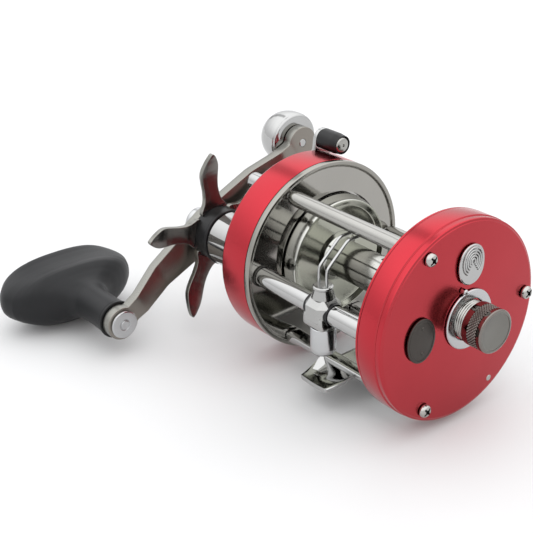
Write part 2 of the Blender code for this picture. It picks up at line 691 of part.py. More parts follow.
def make_arm():
    one_side = [0.0, 8.0, 16.0, 24.1, 28.0, 32.0, 36.0, 39.6, 41.0, 42.8, ARM_REACH, 48.0, 49.8, 50.7, 51.1]
    stations = [-s for s in one_side[:0:-1]] + one_side
    along = polar(1.0, ARM_ANGLE)
    across = polar(1.0, ARM_ANGLE + 90)
    bm = bmesh.new()
    rows = []
    for s in stations:
        half = max(arm_half_width(s), 0.6)
        rows.append([bm.verts.new((arm_inner_x(s) * MM, (along[0] * s + across[0] * half * w) * MM,
                                   (along[1] * s + across[1] * half * w) * MM)) for w in (-1, 1)])
    for near, far in zip(rows, rows[1:]):
        bm.faces.new((near[0], far[0], far[1], near[1]))
    mesh = bpy.data.meshes.new("handle_arm")
    bm.to_mesh(mesh)
    bm.free()
    arm = add_object("handle_arm", mesh, world(0, *DRIVE_AXIS), material="gunmetal")
    shell = arm.modifiers.new("Plate", "SOLIDIFY")
    shell.thickness = ARM_THICK * MM
    shell.offset = -1.0
    edge = arm.modifiers.new("Edge", "BEVEL")
    edge.width = 0.4 * MM
    edge.segments = 1
    edge.limit_method = "ANGLE"
    edge.angle_limit = math.radians(50)
    bore = (-75, -62)
    cut(arm, hole("arm_hub", 2.85, bore, DRIVE_AXIS), hole("arm_knob", 2.5, bore, knob_axis()),
        hole("arm_weight", 1.8, bore, weight_axis()))


def knob_axis():
    return offset(DRIVE_AXIS, ARM_REACH, ARM_ANGLE)


def weight_axis():
    return offset(DRIVE_AXIS, ARM_REACH, ARM_ANGLE + 180)


def make_handle_fittings():
    outer = ARM_HUB_X - ARM_THICK
    profile = [
        (0, outer - GAP), (5.5, outer - GAP), (5.5, outer - 3.4), (5.1, outer - 4.3), (3.8, outer - 4.8),
        (0, outer - 5.0),
    ]
    turned("handle_nut", profile, DRIVE_AXIS, "satin_chrome", 20)
    outer = ARM_END_X - ARM_THICK
    profile = [
        (0, -64.2), (1.1, -64.2), (1.5, -64.6), (1.5, outer - GAP), (7.3, outer - GAP), (9.2, outer - 0.8),
        (9.4, outer - 1.3), (9.0, outer - 1.6), (9.55, outer - 2.0), (9.68, outer - 3.6),
        (9.3, outer - 7.0), (7.8, outer - 10.4), (5.25, outer - 13.0), (2.5, outer - 14.2), (0, outer - 14.5),
    ]
    turned("counterweight", profile, weight_axis(), "chrome", 22)
    profile = [
        (0, -64.0), (1.8, -64.0), (2.1, -64.3), (4.6, -64.4), (4.85, -64.6), (4.85, ARM_END_X + GAP),
        (2.2, ARM_END_X + GAP), (2.2, -98.5), (0, -98.5),
    ]
    turned("knob_post", profile, knob_axis(), "satin_chrome", 16)
    ring("knob_washer", 2.5, 6.6, (-70.4, -69.5), knob_axis(), "black_plastic", 24)


def make_knob():
    """A loft from the round neck to the long oval grip; sizes are half widths along Y and Z."""
    sections = [
        (-70.7, 6.2, 6.2), (-84.0, 6.2, 6.2), (-87.0, 6.7, 6.4), (-89.5, 8.4, 6.8), (-91.5, 11.4, 7.4),
        (-93.5, 15.4, 8.4), (-96.0, 20.0, 9.9), (-99.0, 23.4, 11.2), (-103.8, 25.2, 12.1),
        (-107.5, 24.4, 11.7), (-110.5, 22.2, 10.7), (-113.0, 18.2, 8.6), (-114.8, 12.6, 5.8),
        (-115.7, 6.6, 3.0),
    ]
    segments = 20
    bm = bmesh.new()
    rows = []
    for x, half_y, half_z in sections:
        rows.append([bm.verts.new((x * MM, half_y * math.cos(TAU * i / segments) * MM,
                                   half_z * math.sin(TAU * i / segments) * MM)) for i in range(segments)])
    bm.faces.new(rows[0])
    for near, far in zip(rows, rows[1:]):
        for i in range(segments):
            j = (i + 1) % segments
            bm.faces.new((near[i], far[i], far[j], near[j]))
    bm.faces.new(rows[-1][::-1])
    bmesh.ops.recalc_face_normals(bm, faces=bm.faces)
    mesh = bpy.data.meshes.new("knob_grip")
    bm.to_mesh(mesh)
    bm.free()
    grip = add_object("knob_grip", mesh, world(0, *knob_axis()), material="black_rubber")
    cut(grip, hole("knob_bore", 2.5, (-99.0, -69.0), knob_axis()))


# ---------------------------------------------------------------- level wind

def make_level_wind():
    left = HANDLE_WALL_X + GAP
    right = PALM_WALL_X - GAP
    tube = ring("level_wind_tube", 2.55, 3.15, (left, right), WORM_AXIS, "chrome", 24)
    middle = (0.0, WORM_AXIS[0], WORM_AXIS[1] - 3.0)
    cut(tube, box("cut_tube_slot", (44.0, 2.5, 3.0), middle))
    profile = [
        (0, 26.6), (1.4, 26.6), (1.4, 24.0), (2.1, 23.6), (2.1, -25.0), (1.35, -25.3), (1.35, -30.3),
        (0, -30.3),
    ]
    turned("worm_shaft", profile, WORM_AXIS, "steel", 20)


def make_line_guide():
    y, z = WORM_AXIS
    block = box("line_guide_carriage", BLOCK, (GUIDE_X, y, z), "satin_chrome", 2.2)
    top = z + BLOCK[2] / 2
    collar = upright_rod("add_guide_collar", 3.15, (top - 1.0, 8.9), GUIDE_X, y, steps=24)
    join(block, collar)
    half_gap = 1.75
    wire_holes = [upright_rod(f"cut_wire_{i}", 0.8, (5.6, 9.5), GUIDE_X + side * half_gap, y, steps=12)
                  for i, side in enumerate((-1, 1))]
    cut(block, hole("guide_bore", 3.5, (GUIDE_X - 7, GUIDE_X + 7), WORM_AXIS, 24),
        upright_rod("cut_pawl_bore", 1.8, (-6.0, z), GUIDE_X, y), *wire_holes)

    bottom = z - BLOCK[2] / 2
    housing = upright_rod("pawl_housing", 4.0, (-12.9, bottom - GAP), GUIDE_X, y, "satin_chrome", 20)
    cut(housing, upright_rod("cut_housing", 1.8, (-11.9, bottom), GUIDE_X, y))
    pawl = upright_rod("line_pawl", 1.5, (-11.5, -2.9), GUIDE_X, y, "steel", 16)
    join(pawl, upright_rod("add_pawl_tip", 0.9, (-3.5, -1.75), GUIDE_X, y, steps=12))

    left = GUIDE_X - half_gap
    right = GUIDE_X + half_gap
    shelf = 21.4
    points = [(left, y, 6.2), (left, y, 13.7), (left, y + 0.35, 14.5), (left, -18.2, 20.8),
              (left, -17.4, shelf), (left, -12.8, shelf), (left + 0.5, -12.1, shelf)]
    points += [(left + right - px, py, pz) for px, py, pz in reversed(points)]
    wire("line_guide_wire", points, 0.5, "chrome")


# ---------------------------------------------------------------- clicker

def make_clicker():
    face = PALM_FACE_X
    oval = [(5.2 * math.cos(TAU * i / 28), 6.35 * math.sin(TAU * i / 28)) for i in range(28)]
    button = plate("clicker_button", [oval], (face + GAP, face + 1.7), BUTTON_AXIS, "chrome")
    join(button, rod("add_button_stem", 1.5, (CLICK_X[0] - 0.4, face + 0.8), BUTTON_AXIS, steps=16))
    tongue = [(-2.6, 1.0), (-1.6, 2.8), (1.6, 2.8), (2.6, 1.0), (2.3, -3.0), (0.5, -12.2), (-0.5, -12.2),
              (-2.3, -3.0)]
    plate("clicker_pawl", [tongue, circle(1.8, 16)], CLICK_X, BUTTON_AXIS, "steel")


PARTS = None
CUTTERS = None


def main():
    global PARTS, CUTTERS
    reset_scene()
    PARTS = make_collection("baitcasting_reel")
    CUTTERS = make_collection("cutters")
    make_rings()
    make_pillars()
    make_foot()
    make_handle_cover()
    make_palm_cover()
    make_palm_trim()
    make_fasteners()
    make_spool()
    make_brakes()
    make_tension_cap()
    make_gears()
    make_drive()
    make_bridge()
    make_clutch()
    make_star()
    make_arm()
    make_handle_fittings()
    make_knob()
    make_level_wind()
    make_line_guide()
    make_clicker()


main()
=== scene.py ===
"""Looks for a round baitcasting reel: every visible piece rebuilt smooth, with procedural metals and rubber.

Lengths are millimetres, except inside a material, the floor and the camera, which use metres.  x is the
world's X; y and z are measured from the axis named beside them.  Every axis comes from the CAD boxes.
A profile is a list of (radius, x) points, turned about an axis that runs along X.
"""
import json
import math

import bmesh
import bpy
import numpy as np
from mathutils import Matrix, Vector


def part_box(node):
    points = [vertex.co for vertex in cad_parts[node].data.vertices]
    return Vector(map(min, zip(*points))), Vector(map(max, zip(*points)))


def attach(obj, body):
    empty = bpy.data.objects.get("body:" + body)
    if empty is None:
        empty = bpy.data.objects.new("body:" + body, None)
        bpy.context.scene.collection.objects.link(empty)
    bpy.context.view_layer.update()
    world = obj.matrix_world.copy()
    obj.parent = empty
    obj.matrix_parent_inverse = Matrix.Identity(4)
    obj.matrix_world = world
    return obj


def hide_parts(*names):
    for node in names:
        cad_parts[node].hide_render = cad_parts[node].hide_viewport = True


MM = 0.001
TAU = 2 * math.pi
GAP = 0.3          # clearance between pieces that lie on each other

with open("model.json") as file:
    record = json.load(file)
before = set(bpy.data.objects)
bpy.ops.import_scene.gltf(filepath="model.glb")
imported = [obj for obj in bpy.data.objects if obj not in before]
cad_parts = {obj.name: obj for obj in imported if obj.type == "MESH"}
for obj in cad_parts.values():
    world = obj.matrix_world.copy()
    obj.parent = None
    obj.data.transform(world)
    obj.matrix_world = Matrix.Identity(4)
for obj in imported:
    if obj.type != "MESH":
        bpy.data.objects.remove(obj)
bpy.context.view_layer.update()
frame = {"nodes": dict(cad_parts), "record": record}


# ---------------------------------------------------------------- places read from the CAD

def span(node):
    """Low x, high x, and the (y, z) middle of a CAD node, in millimetres."""
    low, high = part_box(node)
    return low.x / MM, high.x / MM, ((low.y + high.y) / 2 / MM, (low.z + high.z) / 2 / MM)


PLATE_AXIS = span("palm_side_cover")[2]
PLATE_R = (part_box("palm_side_cover")[1].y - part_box("palm_side_cover")[0].y) / 2 / MM
SPOOL_AXIS = span("spool")[2]
DRIVE_AXIS = span("drive_sleeve")[2]
TUBE_AXIS = span("level_wind_tube")[2]
KNOB_AXIS = span("knob_washer")[2]
WEIGHT_AXIS = span("counterweight")[2]
THUMB_AXIS = span("thumb_sleeve")[2]
GUIDE_X = sum(span("line_guide_carriage")[:2]) / 2


def from_plate(y, z):
    return (PLATE_AXIS[0] + y, PLATE_AXIS[1] + z)


# ---------------------------------------------------------------- materials

def shader_of(name, colour, metallic, roughness):
    material = bpy.data.materials.new(name)
    material.use_nodes = True
    tree = material.node_tree
    shader = tree.nodes["Principled BSDF"]
    shader.inputs["Metallic"].default_value = metallic
    shader.inputs["Roughness"].default_value = roughness
    shader.inputs["Base Color"].default_value = (*colour, 1)
    coords = tree.nodes.new("ShaderNodeTexCoord")
    return material, tree, shader, coords.outputs["Object"]


def noise(tree, coords, scale, detail=4.0, stretch=None, roughness=0.5):
    if stretch:
        mapping = tree.nodes.new("ShaderNodeMapping")
        mapping.inputs["Scale"].default_value = stretch
        tree.links.new(coords, mapping.inputs["Vector"])
        coords = mapping.outputs["Vector"]
    node = tree.nodes.new("ShaderNodeTexNoise")
    node.inputs["Scale"].default_value = scale
    node.inputs["Detail"].default_value = detail
    node.inputs["Roughness"].default_value = roughness
    tree.links.new(coords, node.inputs["Vector"])
    return node.outputs["Fac"]


def ramp(tree, factor, low, high, start=0.3, end=0.7):
    node = tree.nodes.new("ShaderNodeMapRange")
    node.inputs["From Min"].default_value = start
    node.inputs["From Max"].default_value = end
    node.inputs["To Min"].default_value = low
    node.inputs["To Max"].default_value = high
    tree.links.new(factor, node.inputs["Value"])
    return node.outputs["Result"]


def mix_colour(tree, factor, first, second):
    node = tree.nodes.new("ShaderNodeMix")
    node.data_type = "RGBA"
    node.inputs["A"].default_value = (*first, 1)
    node.inputs["B"].default_value = (*second, 1)
    tree.links.new(factor, node.inputs["Factor"])
    return node.outputs["Result"]


def bump(tree, shader, height, strength, distance):
    node = tree.nodes.new("ShaderNodeBump")
    node.inputs["Strength"].default_value = strength
    node.inputs["Distance"].default_value = distance
    tree.links.new(height, node.inputs["Height"])
    tree.links.new(node.outputs["Normal"], shader.inputs["Normal"])


def metal(name, colour, roughness, spread, tint, grain=2600.0, depth=0.000003, stretch=(1, 1, 1)):
    """A plated or anodised metal: faint colour drift, fine scratches and a varying polish.

    spread is how far the roughness varies, tint how much darker the drift gets, grain the scale of the
    scratches, and depth their height.  stretch draws them out: (1, 40, 40) makes them run along X."""
    material, tree, shader, coords = shader_of(name, colour, 1.0, roughness)
    drift = noise(tree, coords, 60.0, 5.0)
    darker = tuple(channel * (1 - tint) for channel in colour)
    shade = mix_colour(tree, ramp(tree, drift, 0.0, 1.0), darker, colour)
    tree.links.new(shade, shader.inputs["Base Color"])
    fine = noise(tree, coords, grain, 6.0, stretch, 0.65)
    polish = ramp(tree, fine, max(0.02, roughness - spread), roughness + spread)
    tree.links.new(polish, shader.inputs["Roughness"])
    bump(tree, shader, fine, 0.25, depth)
    return material


def rubber(name, colour, pale, roughness):
    """A soft-touch rubber: grainy, slightly dusty, with a low sheen."""
    material, tree, shader, coords = shader_of(name, colour, 0.0, roughness)
    dust = noise(tree, coords, 140.0, 6.0)
    shade = mix_colour(tree, ramp(tree, dust, 0.0, 1.0, 0.35, 0.75), colour, pale)
    tree.links.new(shade, shader.inputs["Base Color"])
    grain = noise(tree, coords, 5200.0, 3.0)
    tree.links.new(ramp(tree, grain, roughness - 0.06, roughness + 0.08), shader.inputs["Roughness"])
    bump(tree, shader, grain, 0.35, 0.00002)
    shader.inputs["Specular IOR Level"].default_value = 0.3
    return material


RED = metal("look_red", (0.425, 0.044, 0.054), 0.2, 0.03, 0.06)
RED_RIM = metal("look_red_rim", (0.45, 0.036, 0.048), 0.22, 0.04, 0.06, 1400.0, 0.000005, (40, 1, 1))
CHROME = metal("look_chrome", (0.44, 0.44, 0.435), 0.06, 0.025, 0.05, 1500.0)
DARK_CHROME = metal("look_dark_chrome", (0.30, 0.29, 0.265), 0.16, 0.03, 0.06, 1500.0)
WALL_CHROME = metal("look_wall_chrome", (0.35, 0.34, 0.315), 0.07, 0.02, 0.06, 1500.0, 0.000001)
BLACK_CHROME = metal("look_black_chrome", (0.05, 0.048, 0.044), 0.14, 0.03, 0.08, 1500.0)
SATIN = metal("look_satin", (0.50, 0.505, 0.51), 0.2, 0.05, 0.06, 2200.0, 0.00001)
NICKEL = metal("look_nickel", (0.37, 0.365, 0.345), 0.18, 0.05, 0.06, 1500.0, 0.000008, (1, 40, 40))
PALE_NICKEL = metal("look_pale_nickel", (0.26, 0.256, 0.235), 0.3, 0.05, 0.06, 2600.0, 0.000008)
DARK_NICKEL = metal("look_dark_nickel", (0.19, 0.18, 0.168), 0.24, 0.04, 0.06, 2600.0, 0.000004)
GUNMETAL = metal("look_gunmetal", (0.25, 0.23, 0.205), 0.31, 0.04, 0.06, 2600.0, 0.000004)
CAP_SIDE = metal("look_cap_side", (0.21, 0.19, 0.175), 0.12, 0.04, 0.08, 2200.0)
KNURL = metal("look_knurl", (0.15, 0.125, 0.115), 0.2, 0.05, 0.10, 3000.0, 0.000004)
CAP_END = metal("look_cap_end", (0.205, 0.2, 0.184), 0.42, 0.06, 0.10, 3600.0, 0.00001)
BADGE = metal("look_badge", (0.075, 0.068, 0.062), 0.36, 0.08, 0.18, 2600.0, 0.00002)
SPOOL_CHROME = metal("look_spool", (0.47, 0.47, 0.44), 0.12, 0.03, 0.06, 1800.0)
# a darker copy of the flange finish: painted shade for the spool's faces that look towards -X
PAINTED_SHADE_FLANGE = metal("look_painted_shade_flange", (0.12, 0.12, 0.10), 0.2, 0.03, 0.05, 900.0, 0.000001)
FLANGE = metal("look_flange", (0.37, 0.375, 0.32), 0.14, 0.02, 0.05, 900.0, 0.000001)
GUIDE_METAL = metal("look_guide", (0.40, 0.40, 0.39), 0.15, 0.04, 0.06, 2200.0, 0.000006)
STEEL = metal("look_steel", (0.44, 0.43, 0.41), 0.14, 0.05, 0.08, 1600.0, 0.000006, (30, 1, 1))
BRASS = metal("look_brass", (0.60, 0.42, 0.17), 0.28, 0.07, 0.14, 1600.0, 0.00001, (30, 1, 1))
RUBBER = rubber("look_rubber", (0.0055, 0.0057, 0.0066), (0.008, 0.0083, 0.0095), 0.42)
SLEEVE_RUBBER = rubber("look_sleeve_rubber", (0.004, 0.004, 0.0045), (0.007, 0.007, 0.0075), 0.38)
BLACK = rubber("look_black_plastic", (0.006, 0.006, 0.006), (0.010, 0.010, 0.011), 0.35)

SLOT_LOOKS = {
    "red_anodised": RED, "chrome": CHROME, "satin_chrome": SATIN, "gunmetal": GUNMETAL, "steel": STEEL,
    "brass": BRASS, "black_rubber": RUBBER, "black_plastic": BLACK,
}
SLOT_OF = {part["node"]: part["material_slot"] for part in frame["record"]["subparts"]}
BODY_OF = {node: body for body, nodes in frame["record"]["behaviour"]["bodies"].items() for node in nodes}
for node, obj in frame["nodes"].items():
    for slot in obj.material_slots:
        slot.material = SLOT_LOOKS[SLOT_OF[node]]


# ---------------------------------------------------------------- shape makers

def finish_mesh(name, bm, material, angle=32):
    bmesh.ops.recalc_face_normals(bm, faces=bm.faces)
    mesh = bpy.data.meshes.new(name)
    bm.to_mesh(mesh)
    bm.free()
    mesh.materials.append(material)
    for polygon in mesh.polygons:
        polygon.use_smooth = True
    mesh.set_sharp_from_angle(angle=math.radians(angle))
    obj = bpy.data.objects.new(name, mesh)
    bpy.context.scene.collection.objects.link(obj)
    return obj


def stand_in(obj, node, *more):
    """obj takes the place of a CAD node, on the same body."""
    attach(obj, BODY_OF[node])
    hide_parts(node, *more)
    return obj


def extra(obj, body):
    """obj is a further piece of the looks, which no CAD node stands for."""
    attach(obj, body)
    return obj


def paint(obj, material, chosen):
    """Gives another finish to the faces that chosen(polygon) picks."""
    obj.data.materials.append(material)
    for polygon in obj.data.polygons:
        if chosen(polygon):
            polygon.material_index = len(obj.data.materials) - 1


def distance_from(axis, polygon):
    return math.hypot(polygon.center.y / MM - axis[0], polygon.center.z / MM - axis[1])


def at(x, axis, y=0.0, z=0.0):
    return Vector((x, axis[0] + y, axis[1] + z)) * MM


def around(x, axis, r, turn):
    """A point at radius r and angle turn about an axis."""
    return at(x, axis, r * math.cos(turn), r * math.sin(turn))


def smooth_step(value):
    value = min(1.0, max(0.0, value))
    return value * value * (3 - 2 * value)


def oval(half_y, half_z, count=96, square=2.0):
    """An ellipse at square 2; more than 2 squares its corners."""
    def reach(half, share):
        return half * math.copysign(abs(share) ** (2 / square), share)

    turns = [TAU * i / count for i in range(count)]
    return [(reach(half_y, math.cos(turn)), reach(half_z, math.sin(turn))) for turn in turns]


def soft_bar_section(half, thin, soft_side, soft_face):
    """(width, depth) points round a flat bar's section, four on each rounded corner."""
    ring = []
    for side, face in ((-1, 1), (1, 1), (1, -1), (-1, -1)):
        for i in range(4):
            corner = math.radians(90 * i / 3)
            ease_side, ease_face = math.sin(corner), math.cos(corner)
            if side != face:
                ease_side, ease_face = ease_face, ease_side
            width = side * (half - soft_side * (1 - ease_side))
            depth = face * (thin - soft_face * (1 - ease_face))
            ring.append((width, depth))
    return ring


def softened(profile, size, steps=3):
    """Rounds the corners of a (r, x) polyline, leaving its ends."""
    points = [profile[0]]
    for before, here, after in zip(profile, profile[1:], profile[2:]):
        before, here, after = Vector(before), Vector(here), Vector(after)
        first, second = before - here, after - here
        reach = min(size, first.length * 0.45, second.length * 0.45)
        if first.length < 1e-6 or second.length < 1e-6 or abs(first.angle(second) - math.pi) < 0.12:
            points.append(tuple(here))
            continue
        start = here + first.normalized() * reach
        end = here + second.normalized() * reach
        for i in range(steps + 1):
            t = i / steps
            points.append(tuple(start * (1 - t) ** 2 + here * 2 * t * (1 - t) + end * t ** 2))
    points.append(profile[-1])
    return points


def lathe(name, profile, axis, material, segments=96, soft=0.15, closed=False, angle=32):
    """Turns a profile about an axis; an end at radius 0 closes to a point."""
    if soft:
        if closed:
            profile = softened([profile[-1]] + profile + [profile[0]], soft)[1:-1]
        else:
            profile = softened(profile, soft)
    bm = bmesh.new()
    rings = []
    for r, x in profile:
        if r < 1e-6:
            rings.append([bm.verts.new(at(x, axis))])
        else:
            rings.append([bm.verts.new(around(x, axis, r, TAU * i / segments)) for i in range(segments)])
    pairs = list(zip(rings, rings[1:]))
    if closed:
        pairs.append((rings[-1], rings[0]))
    for first, second in pairs:
        for i in range(segments):
            j = (i + 1) % segments
            near = [first[i % len(first)], first[j % len(first)]]
            far = [second[j % len(second)], second[i % len(second)]]
            corners = list(dict.fromkeys(near + far))
            if len(corners) > 2:
                bm.faces.new(corners)
    return finish_mesh(name, bm, material, angle)


def skin(name, sections, material, angle=40):
    """A loft through rings of world points; the first and last rings are capped."""
    bm = bmesh.new()
    rings = [[bm.verts.new(point) for point in ring] for ring in sections]
    for first, second in zip(rings, rings[1:]):
        count = len(first)
        for i in range(count):
            j = (i + 1) % count
            bm.faces.new((first[i], first[j], second[j], second[i]))
    bm.faces.new(rings[0][::-1])
    bm.faces.new(rings[-1])
    return finish_mesh(name, bm, material, angle)


def revolved(name, rows, radius, axis, material, segments, angle=60):
    """A turned piece whose radius is a function of angle and x, for knurls and threads."""
    turns = [TAU * i / segments for i in range(segments)]
    sections = [[around(x, axis, radius(turn, x), turn) for turn in turns] for x in rows]
    return skin(name, sections, material, angle)


def slab(name, outline, x0, x1, axis, material, edge=0.2, steps=3, angle=40):
    """A flat piece from a convex (y, z) outline, with rounded edges on both faces."""
    centre = np.mean(outline, axis=0)
    turns = [math.pi / 2 * i / steps for i in range(steps + 1)]
    rows = [(x0 + edge * (1 - math.cos(turn)), edge * (1 - math.sin(turn))) for turn in turns]
    rows += [(x1 - edge * (1 - math.cos(turn)), edge * (1 - math.sin(turn))) for turn in turns[::-1]]
    sections = []
    for x, inset in rows:
        ring = []
        for point in outline:
            out = np.array(point) - centre
            scale = 1 - inset / max(1e-6, np.linalg.norm(out))
            y, z = centre + out * scale
            ring.append(at(x, axis, y, z))
        sections.append(ring)
    return skin(name, sections, material, angle=angle)


def block(name, size, centre_x, axis, bevel, material, y=0.0, z=0.0, segments=2):
    """A box with bevelled edges, centred at (y, z) from an axis."""
    bm = bmesh.new()
    bmesh.ops.create_cube(bm, size=1.0, matrix=Matrix.Translation(at(centre_x, axis, y, z))
                          @ Matrix.Diagonal((size[0] * MM, size[1] * MM, size[2] * MM, 1)))
    bmesh.ops.bevel(bm, geom=bm.edges[:], offset=bevel * MM, segments=segments, affect="EDGES", profile=0.5)
    return finish_mesh(name, bm, material)


def cylinder_z(name, profile, x, y, material, segments=64, soft=0.1):
    """Turns a (r, z) profile about a vertical axis; z is measured from the plate axis."""
    obj = lathe(name, profile, (0.0, 0.0), material, segments, soft)
    turn = Matrix.Rotation(math.radians(-90), 4, "Y")
    obj.data.transform(Matrix.Translation(Vector((x, PLATE_AXIS[0] + y, PLATE_AXIS[1])) * MM) @ turn)
    return obj


def carve(target, cutters, operation="DIFFERENCE", angle=32):
    """Cuts with a Boolean, keeps the result as plain mesh, and removes the cutters."""
    for cutter in cutters:
        modifier = target.modifiers.new("cut", "BOOLEAN")
        modifier.operation = operation
        modifier.solver = "EXACT"
        modifier.object = cutter
    bpy.context.view_layer.update()
    evaluated = target.evaluated_get(bpy.context.evaluated_depsgraph_get())
    mesh = bpy.data.meshes.new_from_object(evaluated)
    target.modifiers.clear()
    old = target.data
    target.data = mesh
    mesh.name = old.name
    for cutter in cutters:
        bpy.data.objects.remove(cutter, do_unlink=True)
    mesh.set_sharp_from_angle(angle=math.radians(angle))
    return target


def bar(radius, x0, x1, axis, segments=48):
    """A plain rod, used to bore holes and to join pieces."""
    return lathe("cutter", [(0, x1), (radius, x1), (radius, x0), (0, x0)], axis, STEEL, segments, 0)


def tube(name, points, radius, material, smooth=True, resolution=6):
    """A round wire through world points in metres."""
    curve = bpy.data.curves.new(name, "CURVE")
    curve.dimensions = "3D"
    curve.bevel_depth = radius * MM
    curve.bevel_resolution = 4
    curve.use_fill_caps = True
    spline = curve.splines.new("NURBS" if smooth else "POLY")
    spline.points.add(len(points) - 1)
    for slot, point in zip(spline.points, points):
        slot.co = (*point, 1.0)
    if smooth:
        spline.order_u = 3
        spline.use_endpoint_u = True
        spline.resolution_u = resolution
    carrier = bpy.data.objects.new(name, curve)
    bpy.context.scene.collection.objects.link(carrier)
    bpy.context.view_layer.update()
    mesh = bpy.data.meshes.new_from_object(carrier.evaluated_get(bpy.context.evaluated_depsgraph_get()))
    bpy.data.objects.remove(carrier, do_unlink=True)
    bm = bmesh.new()
    bm.from_mesh(mesh)
    bmesh.ops.remove_doubles(bm, verts=bm.verts, dist=1e-7)
    return finish_mesh(name, bm, material, 50)


# ---------------------------------------------------------------- side covers and frame rings

WALL = 1.8                   # the covers' sheet
CAVITY_R = PLATE_R - 1.5     # inside the covers
OPENING_R = 21.0             # the hole in each ring that the spool turns in
PILLAR_CIRCLE_R = 28.2
PILLARS = {"rear": 0.6, "upper": 119.2, "lower": 240.2}


def pillar_axis(name):
    turn = math.radians(PILLARS[name])
    return from_plate(PILLAR_CIRCLE_R * math.cos(turn), PILLAR_CIRCLE_R * math.sin(turn))


def looks_outwards(polygon):
    return abs(polygon.normal.x) < 0.7


# the palm cover's rim has a fine turned groove, and is a little smaller outside it
seam, face = span("palm_side_cover")[:2]
groove = face - 2.4
edge_r = PLATE_R - 0.25
groove_r = edge_r - 0.16
profile = [
    (0, face), (edge_r - 0.95, face), (edge_r - 0.7, face - 0.22), (edge_r - 0.12, face - 0.4),
    (edge_r, face - 0.75), (edge_r, groove + 0.2), (groove_r, groove + 0.1), (groove_r, groove - 0.1),
    (PLATE_R, groove - 0.3), (PLATE_R, seam), (CAVITY_R, seam), (CAVITY_R, face - WALL - 0.6),
    (CAVITY_R - 0.6, face - WALL), (0, face - WALL),
]
palm_cover = lathe("palm_cover_look", profile, PLATE_AXIS, RED, 192, 0.1)
paint(palm_cover, RED_RIM, looks_outwards)
stand_in(palm_cover, "palm_side_cover")
PALM_FACE = face

face, seam = span("handle_side_cover")[:2]
profile = [
    (0, face + WALL), (CAVITY_R - 0.6, face + WALL), (CAVITY_R, face + WALL + 0.6), (CAVITY_R, seam),
    (PLATE_R, seam), (PLATE_R, face + 1.2), (PLATE_R - 0.4, face + 0.5), (PLATE_R - 1.0, face), (0, face),
]
handle_cover = lathe("handle_cover_look", profile, PLATE_AXIS, RED, 192, 0.15)
paint(handle_cover, RED_RIM, looks_outwards)
stand_in(handle_cover, "handle_side_cover")
HANDLE_FACE = face

# the handle-side ring's flat wall lies a little below its bright crest
back, crest = span("handle_side_ring")[:2]
wall = crest - 0.8
profile = [
    (0, wall), (29.9, wall), (30.2, wall + 0.12), (30.45, crest - 0.15), (30.9, crest), (31.7, crest),
    (PLATE_R, crest - 0.3), (PLATE_R, back), (0, back),
]
handle_ring = lathe("handle_ring_look", profile, PLATE_AXIS, DARK_CHROME, 160, 0.12)
carve(handle_ring, [bar(OPENING_R, back - 1, crest + 1, SPOOL_AXIS, 160)])
paint(handle_ring, WALL_CHROME, lambda polygon: polygon.normal.x > 0.95
      and polygon.center.x / MM < wall + 0.05)
stand_in(handle_ring, "handle_side_ring")
HANDLE_WALL = wall

# the palm-side ring is a spigot inside the cover, with a thin lip that shows as part of the red rim
inner, spigot = span("palm_side_ring")[:2]
spigot_r, lip_r, lip_thick = 29.8, 31.9, 0.75
profile = [
    (0, spigot), (spigot_r, spigot), (spigot_r, inner + lip_thick), (lip_r, inner + lip_thick),
    (lip_r, inner), (0, inner),
]
palm_ring = lathe("palm_ring_look", profile, PLATE_AXIS, BLACK_CHROME, 160, 0.12)
carve(palm_ring, [bar(OPENING_R, inner - 1, spigot + 1, SPOOL_AXIS, 160)])
paint(palm_ring, RED_RIM, lambda polygon: distance_from(PLATE_AXIS, polygon) > lip_r - 0.4)
stand_in(palm_ring, "palm_side_ring")


# ---------------------------------------------------------------- pillars and bars

PILLAR_R = 2.43

for name, node in (("upper", "upper_front_pillar"), ("rear", "rear_pillar")):
    left, right = span(node)[:2]
    profile = [
        (0, right), (1.9, right), (2.25, right - 1.2), (PILLAR_R, right - 3.5), (PILLAR_R, left + 4.0),
        (2.3, left + 2.4), (1.9, left + 0.9), (1.3, left), (0, left),
    ]
    stand_in(lathe(node + "_look", profile, pillar_axis(name), NICKEL, 64, 1.2), node)


def lower_bar(node):
    """A flat bar whose ends flare out to meet the frame rings."""
    left, right, axis = span(node)
    flare_start, flare_length = 1.2, 6.5
    sections = []
    for share in np.linspace(0, 1, 61):
        x = left + (right - left) * share
        from_end = min(x - left, right - x)
        flare = 1 - min(1.0, max(0.0, (from_end - flare_start) / flare_length))
        half_z = 1.3 + 0.68 * flare
        half_y = 2.5 + 0.27 * flare
        ease = 0.3 * max(0.0, 0.4 - from_end)
        sections.append([at(x, axis, y, z) for y, z in oval(half_y - ease, half_z - ease, 64, 4.0)])
    stand_in(skin(node + "_look", sections, CHROME, angle=50), node)


for node in ("lower_front_bar", "lower_rear_bar"):
    lower_bar(node)


# ---------------------------------------------------------------- reel foot

FOOT_THICK = 1.5
FOOT_CENTRE_HALF = 8.6       # half width in the middle
FOOT_END_HALF = 6.0          # half width at the ends
FOOT_CORNER = 0.5
FRONT_TAPER, REAR_TAPER = 15.0, 19.0
SEAT_HALF = 11.4             # the flat seat ends here, and the side edges turn up beyond it
LIP_START, LIP_LENGTH, LIP_RISE = 17.0, 8.0, 0.8
EDGE_RISE_END, EDGE_RISE_MORE = 0.3, 3.3
foot_low, foot_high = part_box("reel_foot")
FOOT_FRONT, FOOT_REAR = foot_low.y / MM, foot_high.y / MM


